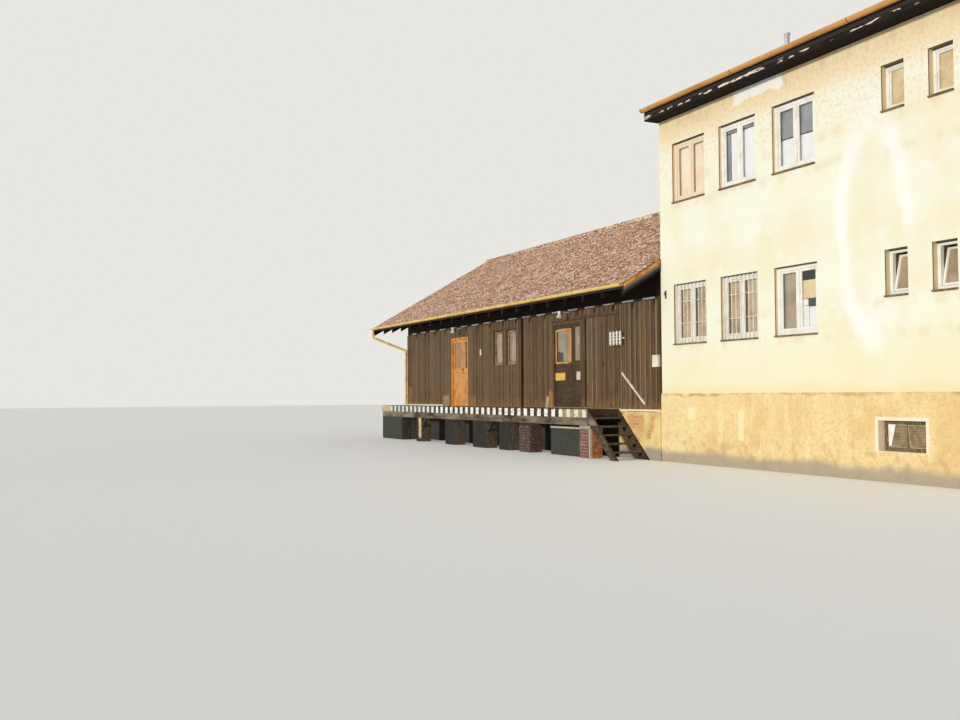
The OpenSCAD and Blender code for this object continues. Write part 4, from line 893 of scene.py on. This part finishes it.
ridges = [ridge_course(VERGE_X + 0.026, -0.002, SHED_RIDGE_Y, 6.60),
          ridge_course(-0.039, STATION_L + 0.039, STATION_D / 2, 9.8912)]
ridge_tiles, ridge_tones, ridge_mortar = zip(*ridges)
piece("ridge_tile_courses", join(ridge_tiles), TILES, replaces=["ridge_tiles"],
      tones=np.concatenate(ridge_tones))
piece("ridge_mortar", join(ridge_mortar), MORTAR)

# Shed boarding. BLOCKED lists what stands in the way of battens on the shed's front, as
# (left, right, low, high)

BLOCKED = [(left - 0.03, right + 0.03, 0, top + 0.005)
           for left, right, top in (FIRST_DOOR, SECOND_DOOR, GOODS_DOOR)]
BLOCKED.append((SECOND_DOOR[0] - 0.06, SECOND_DOOR[1] + 0.06, SECOND_DOOR[2],
                SECOND_DOOR[2] + 0.055))
for left in (-8.375, -7.535):
    right = left + SHED_WINDOW_W
    BLOCKED.append((left - 0.06, right + 0.06, SHED_WINDOW_Z[1] + 0.01, SHED_WINDOW_Z[1] + 0.055))
    BLOCKED.append((left - 0.025, right + 0.025, SHED_WINDOW_Z[0] - 0.005,
                    SHED_WINDOW_Z[1] + 0.02))
BLOCKED += [(-0.29, -0.03, 2.085, 2.385), (-0.23, -0.09, 2.36, 3.65), (-1.99, -1.43, 2.79, 2.87)]


def clear_parts(x, z0, z1):
    """The stretches of z0 to z1 at x where nothing stands in a batten's way."""
    parts = [(z0, z1)]
    for left, right, low, high in BLOCKED:
        if left < x < right:
            parts = [part for a, b in parts for part in ((a, min(b, low)), (max(a, high), b))
                     if part[1] - part[0] > 0.03]
    return parts


def battens():
    """Cover battens over the boards' joints, 200 mm apart, bolder towards the block."""
    foot = FLOOR_Z + 0.012
    xs = np.arange(-15.2, -0.02, 0.2)
    bold, flat = [], []
    for x in xs:
        for z0, z1 in clear_parts(x, foot, BOARDING_TOP):
            wander = RNG.uniform(-0.008, 0.008)
            (bold if x > -3.4 else flat).append([x + wander, z0, z1])
    shapes = []
    for found, wide, deep in ((bold, 0.05, 0.020), (flat, 0.032, 0.009)):
        x, z0, z1 = np.transpose(found)
        shapes.append(uprights(x, -deep / 2, z0, z1, wide, deep))
    shapes.append(uprights(xs, SHED_D + 0.006, foot, BOARDING_TOP, 0.036, 0.012))
    ys = np.arange(0.06, SHED_D, 0.2)
    away = abs(ys - SHED_RIDGE_Y)
    tops = 6.63 - math.tan(SHED_PITCH) * away - 0.1155 - 0.03
    tops = np.where(away < 0.12, tops - 0.25, tops)
    shapes.append(uprights(-SHED_L - 0.006, ys, foot, tops, 0.036, 0.012, Y))
    return join(shapes)


piece("boarding_battens", battens(), BATTENS)
piece("boarding_cover_strip",
      uprights(-6.55, -0.014, FLOOR_Z + 0.01, BOARDING_TOP, 0.09, 0.028), SHADE_BLACK_WOOD)

# Windows


def sashes(x0, z0, w, h):
    """Two casements, or one in a narrow window: a moulded stile and rail round each pane."""
    narrow = w < 0.7
    y, face, wide = (0.131, 0.06, 0.034) if narrow else (0.081, 0.08, 0.046)
    profile = [(0, y), (0, y + 0.022), (wide, y + 0.022), (wide, y + 0.014), (wide - 0.008, y)]
    left, right = x0 + face + 0.003, x0 + w - face - 0.003
    low, high = z0 + 0.03 + face + 0.003, z0 + h - face - 0.003
    middle = x0 + w / 2
    lights = [(left, right)] if narrow else [(left, middle - 0.032), (middle + 0.032, right)]
    return join([moulding(x, x_end, low, high, profile) for x, x_end in lights])


block_sashes = []
for sill in SILLS:
    windows = [(x, sill, WINDOW_W, WINDOW_H) for x in BIG_XS]
    if sill != SILLS[0]:
        windows += [(x, sill + WINDOW_H - SMALL_H, SMALL_W, SMALL_H) for x in SMALL_XS]
    for window in windows:
        made = sashes(*window)
        block_sashes += [made, mirrored(made)]
    block_sashes += [to_right_gable(sashes(x, sill, WINDOW_W, WINDOW_H)) for x in SIDE_XS]
piece("block_window_sashes", join(block_sashes), WINDOW_PAINT)

# Hung cloth, rods, bars and boards behind and before the panes

RODS = []


def hung(name, x0, x1, z0, z1, material, folds, depth=0.016, turn=None, y=CLOTH_Y,
         body="building", rests_on="curtain_rods"):
    """A curtain: x runs evenly between its sides and y swings by depth times the sine of its
    folds, a little less at the head. Its flat width is the area over the height."""
    u, v = np.meshgrid(np.linspace(0, 1, 8 * folds + 1), np.linspace(0, 1, 7))
    swing = depth * (0.7 + 0.3 * v) * np.sin(2 * np.pi * folds * u + 0.9 * np.sin(5 * u))
    points = np.stack([x0 + (x1 - x0) * u, y + swing, z1 + (z0 - z1) * v], -1).reshape(-1, 3)
    number = np.arange(u.size).reshape(u.shape)
    faces = np.stack([number[1:, :-1], number[1:, 1:], number[:-1, 1:], number[:-1, :-1]], -1)
    faces = faces.reshape(-1, 4)
    shape = (points, [faces])
    made = piece(name, turn(shape) if turn else shape, material, body=body, smooth=True)


def dress_window(tag, x, sill, kind, turn):
    """Hang one window's cloth from a rod across its reveal: drapes, a white blind, a half
    curtain, a net or a brown pair."""
    if kind == "none":
        return
    left, right, foot, head = x + 0.02, x + WINDOW_W - 0.02, sill + 0.07, sill + WINDOW_H - 0.05
    middle = (left + right) / 2
    top = {"blind": head - 0.13, "half": sill + 0.5 * WINDOW_H}.get(kind, head)
    rod = turned([x + 0.002, CLOTH_Y, top], X, [(0, 0.009), (WINDOW_W - 0.004, 0.009)], 8)
    RODS.append(turn(rod) if turn else rod)
    sheets = {
        "drape": [("drape_left", left, middle - 0.01, DRAPE, 5, 0.016),
                  ("drape_right", middle + 0.01, right, DRAPE, 5, 0.016)],
        "blind": [("blind", left + 0.19, right, NET, 1, 0.003)],
        "half": [("half_curtain", left, right, NET, 3, 0.006)],
        "net": [("net", left, right, NET, 9, 0.016)],
        "brown": [("curtain_left", left, middle - 0.03, BROWN_CLOTH, 5, 0.016),
                  ("curtain_right", middle + 0.03, right, BROWN_CLOTH, 5, 0.016)]}
    for name, x0, x1, *cloth in sheets[kind]:
        hung(f"{tag}_{name}", x0, x1, foot, top, *cloth, turn)


for wall, sills, xs, turn, kinds in (
        ("front", SILLS[::-1], BIG_XS, None,
         ("drape", "blind", "half", "half", "net", "drape",
          "brown", "brown", "none", "net", "brown", "brown")),
        ("back", SILLS, BIG_XS, mirrored, ("net", "drape", "half", "net", "brown", "net")),
        ("side", SILLS, SIDE_XS, to_right_gable, ("net", "drape"))):
    for number, (sill, x) in enumerate(itertools.product(sills, xs)):
        dress_window(f"{wall}_window_{number + 1}", x, sill, kinds[number % len(kinds)], turn)
piece("curtain_rods", join(RODS), IRON)


def security_bars(x):
    """Upright white bars before a lower window, 110 mm apart, on two rails in the reveal."""
    levels = [3.02, 3.50]
    return join([uprights(np.linspace(x + 0.05, x + WINDOW_W - 0.05, 9), 0.030, 2.592, 3.88,
                          0.018, 0.012),
                 bars(rows(x + 0.001, 0.040, levels), rows(x + WINDOW_W - 0.001, 0.040, levels),
                      0.006, 0.012, Y, 0.001)])


piece("security_bars", join([security_bars(x) for x in BIG_XS[:2] + BIG_XS[-2:]]),
      WHITE_BARS)


def lattice(x0, x1, z0, z1, y, pitch, thick):
    """Thin strips that cross on both diagonals, each clipped to the rectangle."""
    wide, tall = x1 - x0, z1 - z0
    starts, ends = [], []
    for offset in np.arange(pitch / 2, wide + tall, pitch):
        low = max(0.0, offset - tall)
        high = min(offset, wide)
        starts += [[x0 + low, y, z0 + offset - low], [x1 - low, y + thick, z0 + offset - low]]
        ends += [[x0 + high, y, z0 + offset - high], [x1 - high, y + thick, z0 + offset - high]]
    starts, ends = np.array(starts), np.array(ends)
    kept = np.linalg.norm(ends - starts, axis=1) > 0.02
    return bars(starts[kept], ends[kept], 0.007, thick, X + Z, 0.001)


piece("upper_lattice_screens",
      front_and_back([lattice(x + 0.065, x + SMALL_W - 0.065, 6.305, 6.945, 0.150, 0.052, 0.004)
                      for x in SMALL_XS]), LATTICE)
piece("upper_lattice_backing",
      front_and_back([panel(x + 0.062, x + SMALL_W - 0.062, 6.302, 6.948, 0.168, 0.168, 0.004,
                            0.180) for x in SMALL_XS]), TAN_CARD)

# The lower storey's panes stand in for the CAD ones, because the small windows' hopper
# sashes are tilted inwards at the head and carry theirs with them
hoppers, hopper_panes = [], []
for x in SMALL_XS:
    left, right, low, high = x + 0.066, x + SMALL_W - 0.066, 3.186, 3.826
    outline = [(0, 0.132), (0, 0.168), (0.042, 0.168), (0.042, 0.150), (0.036, 0.132)]
    hoppers.append(tilted(moulding(left, right, low, high, outline), low, 13))
    hopper_panes.append(tilted(slab(left + 0.035, right - 0.035, 0.152, 0.158, low + 0.035,
                                    high - 0.035), low, 13))
lower_panes, side_panes = ([slab(x + 0.08, x + WINDOW_W - 0.08, *OUTER_PANE, 2.67, 3.81)
                            for x in xs] for xs in (BIG_XS, SIDE_XS))
piece("ground_floor_panes",
      join([front_and_back(lower_panes)] + [to_right_gable(pane) for pane in side_panes]), GLASS,
      replaces=["ground_floor_glass"])
piece("hopper_panes", front_and_back(hopper_panes), DUSTY_GLASS)
piece("hopper_sashes", front_and_back(hoppers), WINDOW_PAINT)

# The inner panes of the front's upper windows, where they stand clear of cloth
# Their nearly opaque grey is a painted reflection of the sky in the glass.
piece("inner_window_panes",
      join([slab(x0, x1, *INNER_PANE, z0, z1)
            for x0, x1, z0, z1 in ((3.642, 4.707, 6.358, 6.98), (9.233, 10.298, 6.358, 6.98),
                                   (2.067, 3.132, 6.843, 6.98), (2.067, 2.250, 5.72, 6.817))]),
      GREY_GLASS)
piece("inner_dusty_pane", slab(3.642, 4.16, *INNER_PANE, 2.62, 3.86), DUSTY_GLASS)

# What stands in the third lower window: a tan board, a dark box and blank white cards
piece("window_tan_board", slab(4.20, 4.645, 0.122, 0.130, 3.25, 3.59), TAN_CARD)
piece("window_dark_box", panel(4.39, 4.64, 3.11, 3.24, 0.120, 0.118, 0.008, 0.140), IRON)
piece("window_blank_cards",
      join([slab(4.20, 4.40, 0.114, 0.117, 2.66, 3.11),
            slab(4.405, 4.645, *CARD, 2.66, 3.09),
            slab(4.21, 4.375, *CARD, 3.12, 3.24)]), PAPER)

# The cellar window: two wire mesh panels, one leaning, in the frame's two lights. The wire is
# drawn 7 mm wide, about twice the real one, so that it can show
mesh_panels = []
for x0, x1, lean in ((6.145, 6.530, 0), (6.590, 6.972, 7)):
    edge = moulding(x0, x1, 0.574, 0.960, [(0, 0.127), (0, 0.139), (0.016, 0.139),
                                           (0.016, 0.127)])
    wires = uprights(np.arange(x0 + 0.03, x1 - 0.02, 0.024), 0.133, 0.58, 0.954, 0.007, 0.004, X,
                     0.001)
    zs = np.arange(0.604, 0.94, 0.024)
    levels = bars(rows(x0 + 0.006, 0.136, zs), rows(x1 - 0.006, 0.136, zs), 0.007, 0.004, Z,
                  0.001)
    mesh_panels.append(tilted(join([edge, wires, levels]), 0.574, -lean, 0.133))
piece("cellar_wire_mesh", join(mesh_panels), MESH_WIRE)
# Painted light: a white wedge by the leaning panel stands for sunlight falling through the gap.
strip_xs, strip_zs = [6.155, 6.305, 6.215, 6.165], [0.958, 0.958, 0.600, 0.600]
piece("cellar_painted_sunlight_wedge", carried([rows(strip_xs, y, strip_zs) for y in (0.1215, 0.1255)]),
      PAPER)

# Doors


def leaf_dressing(x0, x1, light_top, boarded):
    """Beads round a leaf's light on both faces, and a raised field, or level boards, in its
    lower panel on both faces."""
    left, right = x0 + 0.085, x1 - 0.085
    made = [moulding(left, right, 2.351, light_top, [(0, 0.042), (0, 0.0565), (0.014, 0.0565),
                                                     (0.004, 0.042)])]
    if boarded:
        heights = np.linspace(1.256, 2.221, 8)
        made += [panel(left + 0.001, right - 0.001, low + 0.003, high - 0.003, 0.046, 0.042,
                       0.010, 0.052) for low, high in zip(heights[:-1], heights[1:])]
    else:
        middle = 1.256 + 0.965 * 0.5
        made += [panel(left + 0.006, right - 0.006, low, high, 0.049, 0.041, 0.03, 0.052)
                 for low, high in ((1.262, middle - 0.03), (middle + 0.03, 2.215))]
        made.append(panel(left + 0.001, right - 0.001, middle - 0.026, middle + 0.026, 0.042,
                          0.040, 0.004, 0.052))
    return join(made + [to_back(part, LEAF_FACES) for part in made])


def plate(x0, x1, z0, z1, y=0.034, thick=0.002, back=0.039):
    """A thin plate with sloped edges, laid on a leaf."""
    return panel(x0, x1, z0, z1, y, y - thick, 0.003, back)


def handle(x):
    """A lever handle: a plate, a turned neck and a level grip with rounded ends."""
    z = 2.286
    neck = turned([x, 0.034, z + 0.03], -Y, [(0, 0.010), (0.03, 0.009), (0.040, 0.010)], 12)
    grip = turned([x, -0.002, z + 0.03], -X, [(-0.012, 0.003), (-0.008, 0.009), (0.09, 0.008),
                                              (0.105, 0.006), (0.108, 0.001)], 12)
    return join([plate(x - 0.018, x + 0.018, z - 0.10, z + 0.07), neck, grip])


for body, x0, x1, top, boarded in (("first_door", -11.354, -10.564, 3.189, False),
                                   ("first_door_side", -10.548, -10.226, 3.189, False),
                                   ("second_door", -4.784, -3.904, 3.249, True),
                                   ("second_door_side", -3.888, -3.456, 3.249, True)):
    kind, material, slot = (("boards", TIMBER, "dark_timber") if boarded
                            else ("mouldings", VARNISH, "orange_varnish"))
    piece(f"{body}_{kind}", leaf_dressing(x0, x1, top, boarded), material, body)
trim = [(0, 0.030), (0, 0.0385), (0.050, 0.0385), (0.050, 0.034), (0.042, 0.030)]
piece("second_door_light_trim", moulding(-4.745, -3.943, 2.305, 3.205, trim), VARNISH,
      "second_door")
piece("second_door_kick_plates", plate(-4.77, -4.27, 1.865, 2.065, thick=0.001, back=0.0385),
      YELLOW_PAINT, "second_door")
piece("second_door_side_plate", plate(-3.70, -3.47, 1.87, 2.08, thick=0.001, back=0.0385),
      PINK_PAINT, "second_door_side")
piece("second_door_dark_boxes",
      join([slab(-4.68, -4.57, *DOOR_BOX, 2.36, 2.62),
            slab(-4.55, -4.42, *DOOR_BOX, 2.36, 2.60)]), IRON, "second_door")
piece("first_door_handle", handle(-10.607), IRON, "first_door")
piece("second_door_handle", handle(-3.947), IRON, "second_door")
for body, end, x0, x1, top, cloth, folds in (
        ("first_door", "", -11.266, -10.652, 3.180, RED_CLOTH, 6),
        ("second_door", "_left", -4.696, -4.22, 3.240, GREEN_CLOTH, 4),
        ("second_door", "_right", -4.21, -3.992, 3.240, RED_CLOTH, 2)):
    hung(f"{body}_curtain{end}", x0, x1, 2.356, top, cloth, folds, 0.004, y=0.0735, body=body,
         rests_on=body + "_leaf")

# The goods leaves carry battens like those on the wall beside them
for side, x0, x1 in (("left", -3.244, -2.488), ("right", -2.472, -1.716)):
    piece(f"goods_{side}_battens", uprights(np.arange(x0 + 0.10, x1 - 0.06, 0.2), 0.032, 1.195,
                                            3.40, 0.045, 0.013), BATTENS,
          f"goods_door_{side}")
piece("goods_door_pull",
      join([plate(-2.452, -2.412, 2.18, 2.30),
            turned([-2.432, 0.034, 2.26], -Y, [(0, 0.008), (0.018, 0.008), (0.026, 0.013),
                                               (0.032, 0.004)], 12)]), IRON,
      "goods_door_right")

# Platform and steps


def deck_planks():
    """Five rows of planks along the platform, cut to lengths of 3 to 4 m, joints staggered."""
    width = 0.89 / 5
    ends = []
    for row in range(5):
        y = -0.95 + (row + 0.5) * width
        cuts = np.concatenate([[-SHED_L], np.arange(-14.4 + 1.3 * (row % 3), -2.6, 3.4),
                               [STEPS_X]])
        for a, b in zip(cuts[:-1], cuts[1:]):
            ends.append([[x, y, FLOOR_Z - 0.004 + RNG.uniform(-0.001, 0.001)]
                         for x in (a + 0.004, b - 0.004)])
    starts, ends = np.array(ends).transpose(1, 0, 2)
    return bars(starts, ends, width - 0.008, 0.016, Y, 0.004)


piece("deck_planks", deck_planks(), TIMBER)
tread = np.arange(1, 6)
nosings = rows(STEPS_X + tread * GOING - 0.006, -0.895, FLOOR_Z - tread * RISE - 0.008)
piece("tread_nosings", bars(nosings, nosings + 0.78 * Y, 0.014, 0.022), WORN_WOOD)


def brickwork(x0, x1):
    """Courses of 240 x 115 x 65 mm bricks with 12 mm joints round a pier, alternate courses
    starting with a header, each brick standing 5 mm out of the mortar."""
    y0, y1, top, course = -0.95, -0.61, 0.76, 0.0766
    low, high, across = [], [], []
    for row in range(int(top / course)):
        z = 0.006 + 0.0325 + row * course
        for face, level in enumerate((y0 - 0.002, x1 + 0.002, y1 + 0.002, x0 - 0.002)):
            upright = face % 2
            a, b = (y0, y1) if upright else (x0, x1)
            bricks = 2 if (row + face) % 2 == 0 else 3
            size = (b - a) / bricks
            for i in range(bricks):
                middle = a + (i + 0.5) * size + RNG.uniform(-0.003, 0.003)
                half = size / 2 - 0.006
                for ends, at in ((low, middle - half), (high, middle + half)):
                    ends.append([level, at, z] if upright else [at, level, z])
                across.append(X if upright else Y)
    return bars(low, high, 0.014, 0.065, across, 0.004)


bricks = join([brickwork(-1.975, -1.525), brickwork(-5.0, -4.42)])
piece("pier_bricks", bricks, BRICK,
      tones=np.repeat(RNG.random(len(bricks[0]) // 16), 16))

# Gutters and fittings


def gutter_dressing(x0, x1, y, z, radius, spacing):
    """A rolled bead inside the gutter's outer rim and a strap across its mouth at each
    bracket."""
    bead = turned([x0 + 0.004, y - radius + 0.0085, z + 0.002], X,
                  [(0, 0.008), (x1 - x0 - 0.008, 0.008)], 10)
    starts = rows(np.arange(x0 + 0.4, x1 - 0.2, spacing), y - radius + 0.004, z + 0.002)
    return join([bead, bars(starts, starts + (2 * radius - 0.004) * Y, 0.025, 0.004, X, 0.001)])


shed_dressing = gutter_dressing(VERGE_X, 0, -1.0603, 3.9245, 0.06, 0.832)
piece("shed_gutter_straps", join([shed_dressing, to_back(shed_dressing, SHED_D)]), OCHRE_METAL)
piece("block_gutter_straps",
      front_and_back([gutter_dressing(-0.04, STATION_L + 0.04, -0.4403, 7.8476, 0.07, 0.9)]),
      COPPER_METAL)
apron_z = 7.8726 + (FLUE[1] + 0.37) * math.tan(BLOCK_PITCH)
piece("flue_apron", turned([*FLUE, apron_z - 0.06], Z, [(0.0, 0.15), (0.03, 0.15), (0.10, 0.085),
                                                        (0.20, 0.062)], 24), GREY_METAL)
bulb = [(-0.045, 0.002), (-0.042, 0.018), (-0.028, 0.036), (-0.006, 0.044), (0.02, 0.038),
        (0.045, 0.024)]
piece("lamp_globes", join([turned([x, -0.285, 3.500], Z, bulb) for x in (-10.66, -3.99)]),
      PORCELAIN, smooth=True)
piece("meter_box_door",
      join([panel(-0.248, -0.072, 2.114, 2.356, -0.086, -0.090, 0.006, -0.079),
            turned([-0.086, -0.088, 2.235], -Y, [(0, 0.009), (0.004, 0.009), (0.006, 0.006)],
                   12)]), PLASTIC)
piece("blank_plate", panel(-9.27, -9.19, 2.71, 2.90, -0.016, -0.017, 0.002, -0.001), ENAMEL)


def wall_hook():
    """A small forged bracket: a back plate, an arm and a hook that turns up at its end."""
    angles = np.radians(np.linspace(-90, 100, 9))
    line = np.concatenate([[[0.18, -0.004, 3.70], [0.18, -0.03, 3.70]],
                           rows(0.18, -0.03 - 0.02 * np.cos(angles),
                                3.72 + 0.02 * np.sin(angles))])
    along = np.gradient(line, axis=0)
    along /= np.linalg.norm(along, axis=1)[:, None]
    around = np.radians(np.arange(0, 360, 45))[None, :, None]
    rings = (line[:, None] + 0.011 * np.cos(around) * X
             + 0.011 * np.sin(around) * np.cross(along, X)[:, None])
    return join([panel(0.155, 0.205, 3.61, 3.79, -0.006, -0.008, 0.002, 0.002), carried(rings)])


piece("wall_hook", wall_hook(), IRON)

# Floor, light and camera

floor_mesh = bpy.data.meshes.new("studio_floor")
ring = np.radians(np.arange(0, 360, 5))
floor_points = rows(140 * np.cos(ring), 140 * np.sin(ring), -0.002)
floor_mesh.from_pydata(floor_points.tolist(), [], [list(range(len(ring)))])
ground = Coat("pale_studio_floor", None, Roughness=0.9, Base_Color=linear("#dcd9d2"),
              Emission_Color=linear("#e9e7e2"))
glow = ground.maths("MULTIPLY", add(ground.tree, "LightPath").outputs["Is Camera Ray"], 0.26)
ground.tree.links.new(glow, ground.shader.inputs["Emission Strength"])
floor_mesh.materials.append(ground.material)
floor = bpy.data.objects.new("studio_floor", floor_mesh)
bpy.context.scene.collection.objects.link(floor)

world = bpy.data.worlds.new("soft_studio_light")
bpy.context.scene.world = world
world.use_nodes = True
sky = world.node_tree
sky.nodes.clear()
ambient = add(sky, "Background", {0: "#f0f4fa", 1: 0.53})
backdrop = add(sky, "Background", {0: "#e9e7e2", 1: 1.0})
rays = add(sky, "LightPath").outputs
seen = rays["Is Camera Ray"]
for kind in ("Is Transmission Ray", "Is Glossy Ray"):
    seen = add(sky, "Math", {0: seen, 1: rays[kind]}, operation="MAXIMUM").outputs[0]
mixed = add(sky, "MixShader", {0: seen, 1: ambient.outputs[0], 2: backdrop.outputs[0]})
add(sky, "OutputWorld", {0: mixed.outputs[0]})

# The key lamp stands low and a little to the right, as the light in the photograph does: the
# shed's eaves throw no shadow on the block, and the slats under them are lit
sun = bpy.data.lights.new("key_light", "SUN")
sun.energy = 1.92
sun.angle = math.radians(5)
sun.color = linear("#fffcf6")[:3]
key = bpy.data.objects.new("key_light", sun)
bearing, height = np.radians([12, 9.5])
key_from = Vector((math.sin(bearing), -math.cos(bearing), math.tan(height)))
key.rotation_euler = key_from.to_track_quat("Z", "Y").to_euler()
bpy.context.scene.collection.objects.link(key)

# The camera stands where the photograph's perspective puts it, 1.5 m above the ground
lens = bpy.data.cameras.new("photograph_view")
lens.sensor_width = 36.0
lens.lens = 37.5
lens.clip_end = 500.0
camera = bpy.data.objects.new("photograph_view", lens)
bpy.context.scene.collection.objects.link(camera)
bpy.context.scene.camera = camera
yaw, tilt, roll = np.radians([25.970, 1.994, -0.383])
ahead = np.array([-math.cos(yaw) * math.cos(tilt), math.sin(yaw) * math.cos(tilt),
                  math.sin(tilt)])
level = np.array([math.sin(yaw), math.cos(yaw), 0.0])
upright = np.cross(level, ahead)
right = math.cos(roll) * level + math.sin(roll) * upright
above = -math.sin(roll) * level + math.cos(roll) * upright
eye = np.array([18.325, -13.453, 1.50]) + SHIFT
axes = np.column_stack([right, above, -ahead, eye])
camera.matrix_world = Matrix([*axes.tolist(), [0, 0, 0, 1]])

bpy.context.scene.view_settings.view_transform = "Standard"
